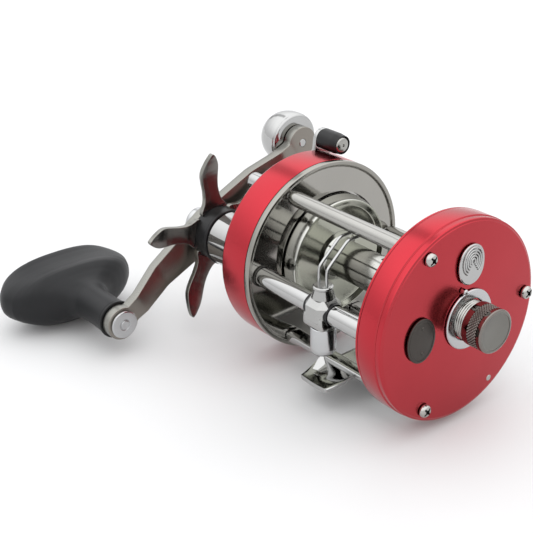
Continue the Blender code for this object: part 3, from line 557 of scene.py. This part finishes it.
def foot_half(y):
    wider = FOOT_CENTRE_HALF - FOOT_END_HALF
    front = FOOT_END_HALF + wider * min(1.0, (y - FOOT_FRONT) / FRONT_TAPER)
    rear = FOOT_END_HALF + wider * min(1.0, (FOOT_REAR - y) / REAR_TAPER)
    short = FOOT_CORNER - min(y - FOOT_FRONT, FOOT_REAR - y)
    trim = 0.0 if short < 0 else FOOT_CORNER - math.sqrt(FOOT_CORNER ** 2 - short ** 2)
    return min(front, rear) - trim


def foot_section(y):
    """One ring of points round the sheet: the dished underside, then the top side back."""
    half = foot_half(y)
    beyond = smooth_step((abs(y) - SEAT_HALF) / 0.4)
    lift = LIP_RISE * smooth_step((abs(y) - LIP_START) / LIP_LENGTH)
    from_end = min(y - FOOT_FRONT, FOOT_REAR - y)
    turned_up = EDGE_RISE_END + EDGE_RISE_MORE * smooth_step((from_end - 1.0) / 11.0)
    under, over = [], []
    count = 24
    for i in range(count + 1):
        share = -1 + 2 * i / count
        rise = lift + turned_up * beyond * abs(share) ** 1.7
        rim = 0.22 * max(0.0, abs(share) - 0.94) / 0.06
        under.append(Vector((share * half, y, rise + rim)) * MM)
        over.append(Vector((share * half, y, rise + FOOT_THICK - rim)) * MM)
    return under + over[::-1]


foot_rows = [FOOT_FRONT + 0.01 * i ** 2 for i in range(10)]
foot_rows += list(np.linspace(FOOT_FRONT + 2.2, FOOT_REAR - 2.2, 60))
foot_rows += [FOOT_REAR - 0.01 * i ** 2 for i in range(9, -1, -1)]
for further in (0.0, 0.2, 0.4):
    foot_rows += [-SEAT_HALF - further, SEAT_HALF + further]
foot_rows.sort()
stand_in(skin("reel_foot_look", [foot_section(y) for y in foot_rows], CHROME, angle=45), "reel_foot")


# ---------------------------------------------------------------- palm plate trim

def crossed_screw(node):
    """A pan head with a cross recess; the shank inside the plates is left plain."""
    inside, top, axis = span(node)
    head = PALM_FACE + GAP
    profile = [
        (0, top), (0.9, top - 0.03), (1.5, top - 0.2), (1.9, top - 0.6), (2.1, top - 1.2), (2.1, head),
        (1.1, head), (1.1, inside), (0, inside),
    ]
    screw = lathe(node + "_look", profile, axis, STEEL, 64, 0.12)
    slots = []
    for turn in (40, 130):
        slot = block("slot", (2.2, 2.9, 0.6), 0, (0, 0), 0.05, BLACK, segments=1)
        slot.data.transform(Matrix.Translation(at(top, axis)) @ Matrix.Rotation(math.radians(turn), 4, "X"))
        slots.append(slot)
    well = lathe("well", [(0, top + 1), (0.7, top + 1), (0.7, top - 0.9), (0, top - 1.3)], axis, BLACK, 24, 0)
    carve(screw, slots + [well], angle=40)
    paint(screw, BLACK, lambda polygon: top - 1.4 < polygon.center.x / MM < top - 0.26
          and distance_from(axis, polygon) < 1.5)
    stand_in(screw, node)


for name in PILLARS:
    crossed_screw("palm_cover_screw_" + name)

low_x, high_x, _ = span("cap_bezel")
profile = [
    (6.6, high_x - 0.12), (7.0, high_x), (9.2, high_x), (9.5, high_x - 0.25), (9.5, low_x), (6.6, low_x),
]
stand_in(lathe("cap_bezel_look", profile, SPOOL_AXIS, SATIN, 96, 0.1, closed=True), "cap_bezel")

BARREL_R, BARREL_BORE, BARREL_FLANGE_R = 6.2, 4.4, 8.5
THREAD_PITCH, THREAD_DEPTH = 0.8, 0.26
bottom, top, _ = span("bearing_barrel")
shoulder = 33.0              # the flange ends and the thread begins


def thread_radius(turn, x):
    ridge = abs(((x / THREAD_PITCH - turn / TAU) % 1.0) * 2 - 1)
    return BARREL_R - THREAD_DEPTH * ridge


barrel = revolved("bearing_barrel_look", np.linspace(shoulder + 0.1, top, 100), thread_radius, SPOOL_AXIS,
                  NICKEL, 96)
carve(barrel, [bar(BARREL_BORE, bottom - 1, top + 1, SPOOL_AXIS, 64)])
profile = [
    (BARREL_BORE, shoulder), (BARREL_FLANGE_R, shoulder - 0.3), (BARREL_FLANGE_R, bottom),
    (BARREL_BORE, bottom),
]
flange = lathe("barrel_flange", profile, SPOOL_AXIS, STEEL, 64, 0.08, closed=True)
stand_in(barrel, "bearing_barrel")
extra(flange, "frame")

start, end, _ = span("tension_cap")
knurl_low, knurl_high = start + 2.3, end - 1.9
CAP_R = 6.86
KNURL_R, KNURL_DEPTH = 6.9, 0.42
KNURL_STARTS, KNURL_PITCH = 44, 0.95
GROOVE_R, GROOVE_WIDE = 6.46, 0.3
RIM_ROUND = 0.5
DISH_R = 5.85


def cap_radius(turn, x):
    """A plain band, a diamond knurl, a groove and a smooth rounded rim."""
    if x < start + 0.25:
        return 6.62 + 0.2 * (x - start) / 0.25
    if x < knurl_low:
        return CAP_R - 0.02
    if x < knurl_high:
        across, along = turn / TAU * KNURL_STARTS, (x - knurl_low) / KNURL_PITCH
        first = abs(((across + along) % 1.0) * 2 - 1)
        second = abs(((across - along) % 1.0) * 2 - 1)
        return KNURL_R - KNURL_DEPTH * max(first, second)
    if x < knurl_high + GROOVE_WIDE:
        return GROOVE_R
    if x < end - RIM_ROUND:
        return CAP_R
    return CAP_R - 0.62 * ((x - end + RIM_ROUND) / RIM_ROUND) ** 2


cap_rows = [start, start + 0.25, start + 1.0, knurl_low - 0.01] + list(np.linspace(knurl_low, knurl_high, 44))
cap_rows += [knurl_high + 0.01, knurl_high + GROOVE_WIDE - 0.01, knurl_high + GROOVE_WIDE + 0.01]
cap_rows += list(np.linspace(end - RIM_ROUND, end - 0.04, 8))
cap = revolved("tension_cap_look", cap_rows, cap_radius, SPOOL_AXIS, CAP_SIDE, 440, angle=50)
profile = [(0, end - 2.4), (6.45, end - 2.4), (6.45, start - 1), (0, start - 1)]
hollow = lathe("cap_hollow", profile, SPOOL_AXIS, CAP_SIDE, 64, 0)
profile = [
    (0, end + 1), (DISH_R, end + 1), (DISH_R, end - 0.22), (DISH_R - 0.15, end - 0.32), (0, end - 0.26),
]
dish = lathe("cap_dish", profile, SPOOL_AXIS, CAP_END, 96, 0)
carve(cap, [hollow, dish], angle=40)
paint(cap, CAP_END, lambda polygon: polygon.center.x / MM > end - 0.34 and abs(polygon.normal.x) > 0.9
      and distance_from(SPOOL_AXIS, polygon) < DISH_R - 0.1)
paint(cap, KNURL, lambda polygon: knurl_low < polygon.center.x / MM < knurl_high + GROOVE_WIDE
      and distance_from(SPOOL_AXIS, polygon) > GROOVE_R - 0.04)
stand_in(cap, "tension_cap")

low_x, high_x, axis = span("locating_stud")
profile = [
    (0, high_x), (0.55, high_x - 0.05), (0.85, high_x - 0.4), (0.9, low_x + 0.5), (0.9, low_x), (0, low_x),
]
stand_in(lathe("locating_stud_look", profile, axis, CHROME, 32, 0.1), "locating_stud")
low_x, high_x, axis = span("locating_pin")
profile = [(0, high_x), (0.8, high_x - 0.02), (1.0, high_x - 0.14), (1.0, low_x), (0, low_x)]
stand_in(lathe("locating_pin_look", profile, axis, STEEL, 32, 0.05), "locating_pin")

low_x, high_x, axis = span("badge_plate")
plate_top = high_x - 0.3
badge = slab("badge_plate_look", oval(5.5, 7.0, 96), low_x, plate_top, axis, BADGE, 0.25)
rim_points = [at(plate_top, axis, y, z) for y, z in oval(4.75, 6.25, 72)]
rim_bead = tube("badge_rim", rim_points + rim_points[:2], 0.14, BADGE, smooth=False)
profile = [
    (0, high_x), (0.35, high_x - 0.06), (0.6, high_x - 0.3), (0.6, plate_top - 0.2), (0, plate_top - 0.2),
]
rivets = [lathe("rivet", profile, (axis[0] + 0.3, axis[1] + sign * 4.0), BADGE, 24, 0.05) for sign in (-1, 1)]
carve(badge, rivets, "UNION")
stand_in(badge, "badge_plate")
extra(rim_bead, "frame")


# ---------------------------------------------------------------- clicker button

low_x, high_x, axis = span("clicker_button")
button_top = high_x - 0.55
button = slab("clicker_button_look", oval(5.2, 6.35, 120, 2.15), PALM_FACE + GAP, button_top, axis, CHROME,
              0.45, 5)
carve(button, [bar(1.5, low_x, PALM_FACE + GAP + 0.5, axis)], "UNION")
stand_in(button, "clicker_button")
RIDGE_R = 0.3
for ring in range(5):
    half_z = 4.45 - ring * 0.88
    half_y = 0.86 * half_z
    arc = []
    for i in range(40):
        turn = math.radians(-52 + 284 * i / 39)
        arc.append(at(button_top + 0.23, axis, half_y * math.cos(turn), 1.1 + half_z * math.sin(turn)))
    extra(tube(f"clicker_ridge_{ring}", arc, RIDGE_R, CHROME), "clicker")


# ---------------------------------------------------------------- spool

FLANGE_R = 20.36
spool_high = span("spool")[1]
rim = spool_high - 5.3       # the flange's edge towards the line
web = rim + 1.2              # its dished wall lies further out
# one half of the section, from the bore round the flange to the arbor; the other half is its mirror image
profile = [
    (1.8, spool_high), (FLANGE_R - 0.3, spool_high), (FLANGE_R, spool_high - 0.3), (FLANGE_R, rim + 3.9),
    (FLANGE_R - 0.9, rim + 0.35), (FLANGE_R - 1.2, rim), (18.8, rim + 0.05), (17.4, web - 0.1), (16.0, web),
    (8.4, web + 0.1), (6.9, web - 0.5), (6.3, web - 1.8),
]
profile += [(r, -x) for r, x in reversed(profile)]
spool = lathe("spool_look", profile, SPOOL_AXIS, SPOOL_CHROME, 160, 0.25, closed=True)
notch = block("notch", (5.0, 1.6, 2.0), 1.0, SPOOL_AXIS, 0.4, SPOOL_CHROME, z=6.6)
carve(spool, [notch])
paint(spool, FLANGE, lambda polygon: polygon.normal.x > 0.75)
# painted shade: the faces looking towards -X get the darker copy of the flange finish
paint(spool, PAINTED_SHADE_FLANGE, lambda polygon: polygon.normal.x < -0.75)
stand_in(spool, "spool")


# ---------------------------------------------------------------- level wind

left, right, _ = span("level_wind_tube")
TUBE_R, TUBE_BORE = 3.15, 2.55
profile = [
    (TUBE_BORE, right), (TUBE_R - 0.1, right), (TUBE_R, right - 0.2), (TUBE_R, left + 0.2),
    (TUBE_R - 0.1, left), (TUBE_BORE, left),
]
guide_tube = lathe("level_wind_tube_look", profile, TUBE_AXIS, CHROME, 96, 0.05, closed=True)
slot = block("slot", (44.0, 1.3, 3.0), (left + right) / 2, TUBE_AXIS, 0.3, CHROME, z=-3.0)
carve(guide_tube, [slot])
stand_in(guide_tube, "level_wind_tube")

BUSH_R, BUSH_LONG = 3.55, 0.6
profile = [
    (TUBE_R, HANDLE_WALL + BUSH_LONG), (BUSH_R - 0.15, HANDLE_WALL + BUSH_LONG),
    (BUSH_R, HANDLE_WALL + BUSH_LONG - 0.15), (BUSH_R, HANDLE_WALL + 0.05), (TUBE_R, HANDLE_WALL + 0.05),
]
extra(lathe("tube_bush", profile, TUBE_AXIS, BLACK_CHROME, 64, 0.06, closed=True), "frame")

# the carriage is a block bored for the tube, with a collar above and a rounded skirt below
CARRIAGE_WIDE = 10.4
SEAL_R, SEAL_LONG = 3.45, 1.4
carriage_low, carriage_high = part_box("line_guide_carriage")
body_top = TUBE_AXIS[1] + 5.0
body_low = carriage_low.z / MM
body_middle = (body_top + body_low) / 2
carriage = block("line_guide_carriage_look", (CARRIAGE_WIDE, 9.6, body_top - body_low), GUIDE_X,
                 (TUBE_AXIS[0], body_middle), 2.7, GUIDE_METAL, segments=1)
collar_top = carriage_high.z / MM - PLATE_AXIS[1]
collar_base = body_top - PLATE_AXIS[1] - 0.6
profile = [
    (0, collar_top), (2.75, collar_top), (3.1, collar_top - 0.2), (3.2, collar_top - 0.55),
    (3.1, collar_top - 0.9), (2.8, collar_top - 1.05), (3.7, collar_base), (0, collar_base),
]
collar = cylinder_z("collar", profile, GUIDE_X, TUBE_AXIS[0] - PLATE_AXIS[0], GUIDE_METAL, 64, 0.1)
skirt_low, skirt_high = body_low + 0.05, body_middle - 0.4
skirt_middle = (skirt_low + skirt_high) / 2
skirt = block("skirt", (9.2, 9.0, skirt_high - skirt_low), GUIDE_X, (TUBE_AXIS[0], skirt_middle), 1.0,
              GUIDE_METAL)
carve(carriage, [collar, skirt], "UNION")
carve(carriage, [bar(3.5, GUIDE_X - 6, GUIDE_X + 6, TUBE_AXIS, 64)], angle=25)
stand_in(carriage, "line_guide_carriage")
for sign in (-1, 1):
    reach = GUIDE_X + sign * CARRIAGE_WIDE / 2
    profile = [
        (TUBE_R + 0.1, reach), (SEAL_R, reach + sign * 0.02), (SEAL_R, reach - sign * SEAL_LONG),
        (TUBE_R + 0.1, reach - sign * SEAL_LONG),
    ]
    extra(lathe("tube_seal", profile, TUBE_AXIS, BLACK, 64, 0, closed=True), "line_guide")

housing_low, housing_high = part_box("pawl_housing")
top = housing_high.z / MM - PLATE_AXIS[1]
low = housing_low.z / MM - PLATE_AXIS[1] - 1.5
profile = [
    (0, top), (3.75, top), (4.0, top - 0.25), (4.0, low + 2.6), (3.75, low + 1.5), (3.1, low + 0.6),
    (1.9, low + 0.1), (0, low),
]
housing = cylinder_z("pawl_housing_look", profile, GUIDE_X, TUBE_AXIS[0] - PLATE_AXIS[0], SATIN, 72, 0.2)
slot = block("slot", (5.0, 0.7, 0.9), GUIDE_X, (TUBE_AXIS[0], PLATE_AXIS[1]), 0.1, SATIN, z=low)
carve(housing, [slot])
stand_in(housing, "pawl_housing")

wire_low, wire_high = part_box("line_guide_wire")
WIRE_R = 0.5
top = wire_high.z / MM - PLATE_AXIS[1] - WIRE_R
rear = wire_high.y / MM - PLATE_AXIS[0] - WIRE_R
half_gap = (wire_high.x - wire_low.x) / 2 / MM - WIRE_R


def guide_point(x, y, z):
    """x from the guide's middle; y and z from the plate axis."""
    return Vector((GUIDE_X + x, PLATE_AXIS[0] + y, PLATE_AXIS[1] + z)) * MM


tube_y = TUBE_AXIS[0] - PLATE_AXIS[0]
one_side = [(tube_y, 6.2), (tube_y, 9.0), (tube_y, 12.4), (tube_y + 0.1, 13.9), (tube_y + 0.9, 15.0),
            (-21.8, 17.7), (-18.9, 20.2), (-17.4, top), (-15.6, top), (-12.9, top)]
points = [guide_point(-half_gap, y, z) for y, z in one_side]
for i in range(1, 8):
    turn = math.pi * i / 8
    points.append(guide_point(-half_gap * math.cos(turn), rear - half_gap + half_gap * math.sin(turn), top))
points += [guide_point(half_gap, y, z) for y, z in reversed(one_side)]
stand_in(tube("line_guide_wire_look", points, WIRE_R, CHROME, resolution=8), "line_guide_wire")


# ---------------------------------------------------------------- handle side: sleeve, star and shaft

SHAFT_HOLE = 2.8
low, high, _ = span("drive_sleeve")
profile = [
    (SHAFT_HOLE, high), (11.0, high), (11.3, high - 0.3), (11.3, high - 1.0), (10.9, high - 1.5),
    (9.9, high - 1.75), (9.5, high - 2.2), (9.5, low + 0.5), (9.1, low), (SHAFT_HOLE, low),
]
stand_in(lathe("drive_sleeve_look", profile, DRIVE_AXIS, CHROME, 128, 0.3, closed=True), "drive_sleeve")
low, high, _ = span("star_seal_ring")
profile = [
    (SHAFT_HOLE, high), (9.5, high), (9.8, high - 0.2), (9.8, low + 0.2), (9.5, low), (SHAFT_HOLE, low),
]
stand_in(lathe("star_seal_ring_look", profile, DRIVE_AXIS, BLACK, 96, 0.08, closed=True), "star_seal_ring")

STAR_FACE = -64.2            # the legs' face towards the reel, before they bend
STAR_THICK = 1.9
STAR_TURN = 96.3
HUB_R = 9.4
star_low, star_high, _ = span("star_drag")
profile = [
    (SHAFT_HOLE, star_high), (HUB_R - 0.3, star_high), (HUB_R, star_high - 0.3), (HUB_R, STAR_FACE - 1.5),
    (HUB_R - 0.3, STAR_FACE - 1.8), (6.4, STAR_FACE - 1.8), (6.0, STAR_FACE - 2.2), (6.0, star_low + 0.4),
    (5.6, star_low), (SHAFT_HOLE, star_low),
]
star = lathe("star_drag_look", profile, DRIVE_AXIS, DARK_NICKEL, 128, 0.15, closed=True)
# distance from the axis, half width, and how far the leg has bent back towards the reel
LEG = [
    (7.0, 4.3, 0.0), (8.4, 5.2, 0.0), (9.4, 5.05, 0.0), (10.4, 4.35, 0.0), (11.8, 3.5, 0.0),
    (13.6, 3.02, 0.0), (16.5, 2.85, 0.02), (19.0, 3.05, 0.12), (21.5, 3.3, 0.5), (23.4, 3.35, 1.05),
    (25.0, 3.1, 1.75), (26.5, 2.6, 2.45), (28.0, 1.95, 3.1), (29.2, 1.3, 3.7), (30.0, 0.72, 4.05),
    (30.4, 0.32, 4.18),
]


def between(rows, place, column):
    return float(np.interp(place, [row[0] for row in rows], [row[column] for row in rows]))


def star_leg(turn):
    """A bent tapering leg with rounded edges, lofted outwards from the hub."""
    along = (math.cos(turn), math.sin(turn))
    across = (-math.sin(turn), math.cos(turn))
    thin = STAR_THICK / 2
    sections = []
    for r in np.concatenate([np.linspace(7.0, 28.0, 44), np.linspace(28.4, 30.4, 10)]):
        half, bend = between(LEG, r, 1), between(LEG, r, 2)
        ring = []
        for width, depth in soft_bar_section(half, thin, min(0.2, half * 0.8), 0.2):
            y, z = along[0] * r + across[0] * width, along[1] * r + across[1] * width
            ring.append(at(STAR_FACE - thin + bend + depth, DRIVE_AXIS, y, z))
        sections.append(ring)
    return skin("leg", sections, DARK_NICKEL, angle=50)


for i in range(5):
    carve(star, [star_leg(math.radians(STAR_TURN + 72 * i))], "UNION", angle=40)
paint(star, PALE_NICKEL, lambda polygon: abs(polygon.normal.x) < 0.55
      and distance_from(DRIVE_AXIS, polygon) > HUB_R + 0.1)
# painted shade: the hub's barrel between the legs and the reel gets the black plastic finish, though it is
# the same dark nickel as the legs
paint(star, BLACK, lambda polygon: polygon.center.x / MM > STAR_FACE - 1.95
      and distance_from(DRIVE_AXIS, polygon) < HUB_R + 0.1)
stand_in(star, "star_drag")


# ---------------------------------------------------------------- handle

ARM_TURN = math.radians(29.41)
ARM_REACH = 45.45
ARM_END_R = 5.8
ARM_THICK = 3.6
ARM_SOFT = 0.3               # rounding of the arm's edges
RAMP_START, RAMP_LENGTH = 24.1, 11.9
arm_low, ARM_END_X, _ = span("handle_arm")
ARM_HUB_X = arm_low + ARM_THICK


def arm_inner(distance):
    """Flat at the hub and at the ends, with a straight ramp between and slightly eased bends."""
    nearby = [(abs(distance) + shift - RAMP_START) / RAMP_LENGTH for shift in (-0.8, -0.4, 0.0, 0.4, 0.8)]
    share = sum(min(1.0, max(0.0, place)) for place in nearby) / len(nearby)
    return ARM_HUB_X + (ARM_END_X - ARM_HUB_X) * share


def arm_half(distance):
    reach = abs(distance)
    taper = 6.9 - 0.085 * reach
    if reach < ARM_REACH - ARM_END_R:
        return taper
    rounded = math.sqrt(max(0.0, ARM_END_R ** 2 - (reach - ARM_REACH) ** 2))
    return max(taper, rounded) if reach < ARM_REACH else rounded


along = (math.cos(ARM_TURN), math.sin(ARM_TURN))
across = (-math.sin(ARM_TURN), math.cos(ARM_TURN))
tip = ARM_REACH + ARM_END_R
places = list(np.linspace(0, ARM_REACH, 70))
places += [ARM_REACH + ARM_END_R * math.sin(math.pi / 2 * i / 24) for i in range(1, 24)] + [tip - 0.004]
places = [-s for s in places[:0:-1]] + places
sections = []
for s in places:
    half = max(0.12, arm_half(s))
    middle = arm_inner(s) - ARM_THICK / 2
    ring = []
    for width, depth in soft_bar_section(half, ARM_THICK / 2, min(ARM_SOFT, half * 0.7), ARM_SOFT):
        y, z = along[0] * s + across[0] * width, along[1] * s + across[1] * width
        ring.append(at(middle + depth, DRIVE_AXIS, y, z))
    sections.append(ring)
arm = skin("handle_arm_look", sections, GUNMETAL, angle=50)
hole_sizes = ((2.85, DRIVE_AXIS), (2.5, KNOB_AXIS), (1.52, WEIGHT_AXIS))
carve(arm, [bar(radius, -76, -60, axis) for radius, axis in hole_sizes], angle=50)
paint(arm, PALE_NICKEL, lambda polygon: abs(polygon.normal.x) < 0.55)
stand_in(arm, "handle_arm")

low, high, _ = span("handle_nut")
profile = [
    (0, high), (5.5, high), (5.5, low + 1.9), (5.3, low + 1.0), (4.6, low + 0.4), (3.2, low + 0.08), (0, low),
]
nut = lathe("handle_nut_look", profile, DRIVE_AXIS, SATIN, 72, 0.15)
carve(nut, [block("slot", (1.4, 1.0, 12.0), low, DRIVE_AXIS, 0.1, SATIN)])
stand_in(nut, "handle_nut")

low, high, _ = span("counterweight")
outer = ARM_END_X - ARM_THICK
# a rivet through the arm, a disc against it, a fine groove, and the long domed weight
profile = [
    (0, ARM_END_X + 0.15), (1.1, ARM_END_X + 0.12), (1.42, ARM_END_X), (1.5, ARM_END_X - 0.3),
    (1.5, outer - GAP), (7.2, outer - GAP), (8.75, outer - 0.55), (9.3, outer - 0.95), (9.4, outer - 1.3),
    (9.1, outer - 1.65), (9.25, outer - 1.85), (9.55, outer - 2.1), (9.68, outer - 3.6), (9.6, outer - 5.4),
    (9.28, outer - 7.2), (8.65, outer - 9.0), (7.7, outer - 10.6), (6.4, outer - 12.1), (4.85, outer - 13.3),
    (3.05, outer - 14.1), (1.45, outer - 14.42), (0, low),
]
stand_in(lathe("counterweight_look", profile, WEIGHT_AXIS, CHROME, 128, 0.4), "counterweight")

low, high, _ = span("knob_post")
collar = -64.4               # the face of the post's collar, round its riveted end
profile = [
    (0, high - 0.3), (0.45, high - 0.2), (1.35, high - 0.12), (1.55, high - 0.2), (1.65, collar - 0.2),
    (1.85, collar - 0.2), (2.0, collar), (4.5, collar), (4.85, collar - 0.2),
    (4.85, ARM_END_X + GAP), (2.2, ARM_END_X + GAP), (2.2, low), (0, low),
]
stand_in(lathe("knob_post_look", profile, KNOB_AXIS, SATIN, 72, 0.08), "knob_post")
low, high, _ = span("knob_washer")
profile = [(2.5, high), (6.4, high), (6.6, high - 0.2), (6.6, low + 0.2), (6.4, low), (2.5, low)]
stand_in(lathe("knob_washer_look", profile, KNOB_AXIS, BLACK, 72, 0.06, closed=True), "knob_washer")

# x, half width along Y, half width along Z; the broad sides are pressed into a shallow dish
KNOB = [
    (-70.7, 6.0, 6.0), (-71.0, 6.2, 6.2), (-78.0, 6.05, 6.05), (-84.0, 6.2, 6.2), (-87.0, 6.7, 6.4),
    (-89.5, 8.4, 6.8), (-91.5, 11.4, 7.4), (-93.5, 15.4, 8.5), (-95.2, 18.6, 9.75), (-96.3, 20.4, 10.3),
    (-97.4, 21.8, 10.3), (-99.5, 23.7, 10.0), (-103.8, 25.2, 9.85), (-107.5, 24.4, 10.25),
    (-109.8, 22.8, 10.75), (-110.9, 21.7, 10.45), (-113.0, 18.2, 8.6), (-114.8, 12.6, 5.8),
    (-115.4, 9.2, 4.2), (-115.7, 6.6, 3.0),
]
neck, tip = KNOB[0][0], KNOB[-1][0]


def eased(rows, place, column):
    """A smooth curve through a table whose first column falls, never past its neighbours."""
    keys = [row[0] for row in rows]
    index = 0
    while index < len(keys) - 2 and keys[index + 1] > place:
        index += 1
    t = (place - keys[index]) / (keys[index + 1] - keys[index])
    a, b, c, d = [rows[min(max(index + k, 0), len(rows) - 1)][column] for k in (-1, 0, 1, 2)]
    square, cube = 2 * a - 5 * b + 4 * c - d, 3 * b - a - 3 * c + d
    smooth = 0.5 * (2 * b + (c - a) * t + square * t ** 2 + cube * t ** 3)
    return min(max(smooth, min(b, c)), max(b, c))


sections = []
for x in np.linspace(neck, tip, 140):
    half_y, half_z = eased(KNOB, x, 1), eased(KNOB, x, 2)
    spread = smooth_step((half_y - half_z) / 6.0)
    sections.append([at(x, KNOB_AXIS, y, z) for y, z in oval(half_y, half_z, 120, 2.0 + 0.5 * spread)])
knob = skin("knob_grip_look", sections, RUBBER, angle=60)
carve(knob, [bar(2.5, neck - 28.4, neck + 1, KNOB_AXIS)], angle=60)
stand_in(knob, "knob_grip")


# ---------------------------------------------------------------- thumb bar and take-down screws

low, high, _ = span("thumb_sleeve")
profile = [(2.85, high), (3.1, high - 0.05)]
for x in np.linspace(high, low, 60)[1:-1]:
    profile.append((3.12 + 0.33 * smooth_step(min(high - x, 3.0) / 3.0), x))
profile += [(3.3, low + 0.05), (2.85, low)]
sleeve = lathe("thumb_sleeve_look", profile, THUMB_AXIS, SLEEVE_RUBBER, 72, 0.05, closed=True)
stand_in(sleeve, "thumb_sleeve")

lever_low, lever_high = span("free_spool_lever")[:2]
LEVER_AXIS = from_plate(10.0, 9.0)
LEVER_THICK = 1.5


def link_outline(start_r, end, end_r, count=20):
    """Two round ends of different sizes joined by straight sides, about the lever's pivot."""
    facing = math.atan2(end[1], end[0])
    near = [(start_r * math.cos(facing + math.pi / 2 + math.pi * i / count),
             start_r * math.sin(facing + math.pi / 2 + math.pi * i / count)) for i in range(count + 1)]
    far = [(end[0] + end_r * math.cos(facing - math.pi / 2 + math.pi * i / count),
            end[1] + end_r * math.sin(facing - math.pi / 2 + math.pi * i / count)) for i in range(count + 1)]
    return near + far


bar_offset = (THUMB_AXIS[0] - LEVER_AXIS[0], THUMB_AXIS[1] - LEVER_AXIS[1])
CORE_R = 2.8
inside_plate = lever_low + 0.6
lever = slab("free_spool_lever_look", link_outline(4.2, bar_offset, 3.4), lever_low, lever_low + LEVER_THICK,
             LEVER_AXIS, CHROME, 0.35, 4)
profile = [
    (0, lever_high), (1.2, lever_high - 0.06), (2.2, lever_high - 0.3), (CORE_R, lever_high - 0.9),
    (CORE_R, inside_plate), (0, inside_plate),
]
core = lathe("core", profile, THUMB_AXIS, CHROME, 64, 0.12)
crank_x = HANDLE_FACE + 3.3
crank = slab("crank", link_outline(3.2, (-3.6, -3.4), 1.2), crank_x, crank_x + 0.8, LEVER_AXIS, CHROME,
             0.12, 2)
carve(lever, [core, bar(2.0, inside_plate, crank_x + 0.6, LEVER_AXIS), crank], "UNION")
profile = [(0, lever_high + 1), (0.55, lever_high + 1), (0.45, lever_high - 0.5), (0, lever_high - 0.7)]
carve(lever, [lathe("dimple", profile, THUMB_AXIS, CHROME, 24, 0)])
paint(lever, NICKEL, lambda polygon: polygon.center.x / MM > lever_high - 1.0)
stand_in(lever, "free_spool_lever")

for name in PILLARS:
    node = "take_down_screw_" + name
    low, high, axis = span(node)
    head = HANDLE_FACE - GAP
    profile = [
        (0, high), (1.1, high), (1.1, head), (2.7, head), (2.7, low + 0.9), (2.5, low + 0.35),
        (1.9, low + 0.05), (0, low),
    ]
    screw = lathe(node + "_look", profile, axis, CHROME, 72, 0.12)
    carve(screw, [block("slot", (1.6, 0.9, 7.0), low, axis, 0.1, CHROME)])
    stand_in(screw, node)


# ---------------------------------------------------------------- camera, light and floor

AZIMUTH = math.radians(52.436)
ELEVATION = math.radians(26.061)
ROLL = math.radians(-1.733)
CAMERA_PLACE = (0.23739, -0.22632, 0.19425)
LENS = 79.07
FLOOR_Z = -0.0064            # just under the knob, the lowest piece
back_axis = Vector((math.sin(AZIMUTH) * math.cos(ELEVATION), -math.cos(AZIMUTH) * math.cos(ELEVATION),
                    math.sin(ELEVATION)))
level = Vector((math.cos(AZIMUTH), math.sin(AZIMUTH), 0.0))
rise = back_axis.cross(level)
right_axis = math.cos(ROLL) * level + math.sin(ROLL) * rise
up_axis = -math.sin(ROLL) * level + math.cos(ROLL) * rise
camera_data = bpy.data.cameras.new("camera")
camera_data.lens = LENS
camera_data.sensor_width = 36
camera_data.clip_start = 0.01
camera = bpy.data.objects.new("camera", camera_data)
bpy.context.scene.collection.objects.link(camera)
columns = zip(right_axis, up_axis, back_axis, CAMERA_PLACE)
camera.matrix_world = Matrix([*columns, (0, 0, 0, 1)])
bpy.context.scene.camera = camera


def toward(azimuth, elevation):
    """A direction: azimuth turns from -Y towards +X, both in degrees."""
    a, e = math.radians(azimuth), math.radians(elevation)
    return Vector((math.sin(a) * math.cos(e), -math.cos(a) * math.cos(e), math.sin(e)))


world = bpy.data.worlds.new("studio")
world.use_nodes = True
bpy.context.scene.world = world
sky = world.node_tree
direction = sky.nodes.new("ShaderNodeTexCoord").outputs["Generated"]


def sky_dot(vector):
    node = sky.nodes.new("ShaderNodeVectorMath")
    node.operation = "DOT_PRODUCT"
    node.inputs[1].default_value = vector
    sky.links.new(direction, node.inputs[0])
    return node.outputs["Value"]


def sky_math(operation, first, second=None):
    node = sky.nodes.new("ShaderNodeMath")
    node.operation = operation
    for socket, value in zip(node.inputs, (first, second)):
        if isinstance(value, (int, float)):
            socket.default_value = value
        elif value is not None:
            sky.links.new(value, socket)
    return node.outputs["Value"]


def sky_band(factor, start, end, low, high):
    node = sky.nodes.new("ShaderNodeMapRange")
    node.interpolation_type = "SMOOTHSTEP"
    for name, value in (("From Min", start), ("From Max", end), ("To Min", low), ("To Max", high)):
        node.inputs[name].default_value = value
    sky.links.new(factor, node.inputs["Value"])
    return node.outputs["Result"]


# a white room, brighter overhead, with a dark gap between two softboxes on the left
GAP_AZIMUTH = -108
strength = sky_band(sky_dot((0, 0, 1)), 0.0, 0.8, 1.0, 2.0)
gap_across = sky_math("ABSOLUTE", sky_dot(toward(GAP_AZIMUTH + 90, 0)))
gap = sky_band(gap_across, 0.04, 0.12, 0.5, 1.0)
left_only = sky_band(sky_dot((-1, 0, 0)), 0.1, 0.3, 0.0, 1.0)
gap = sky_math("ADD", 1.0, sky_math("MULTIPLY", left_only, sky_math("SUBTRACT", gap, 1.0)))
strength = sky_math("MULTIPLY", strength, gap)
sky.nodes["Background"].inputs["Color"].default_value = (0.985, 0.99, 1.0, 1)
sky.links.new(strength, sky.nodes["Background"].inputs["Strength"])

floor_material, floor_tree, floor_shader, floor_coords = shader_of("floor", (0.62, 0.62, 0.62), 0.0, 0.7)
mottle = noise(floor_tree, floor_coords, 3.0, 3.0)
floor_tree.links.new(mix_colour(floor_tree, mottle, (0.61, 0.61, 0.61), (0.63, 0.63, 0.63)),
                     floor_shader.inputs["Base Color"])
bpy.ops.mesh.primitive_plane_add(size=6.0, location=(0, 0, FLOOR_Z))
floor = bpy.context.object
floor.name = "floor"
floor.data.materials.append(floor_material)

bpy.context.scene.view_settings.view_transform = "Standard"
bpy.context.scene.cycles.use_denoising = True
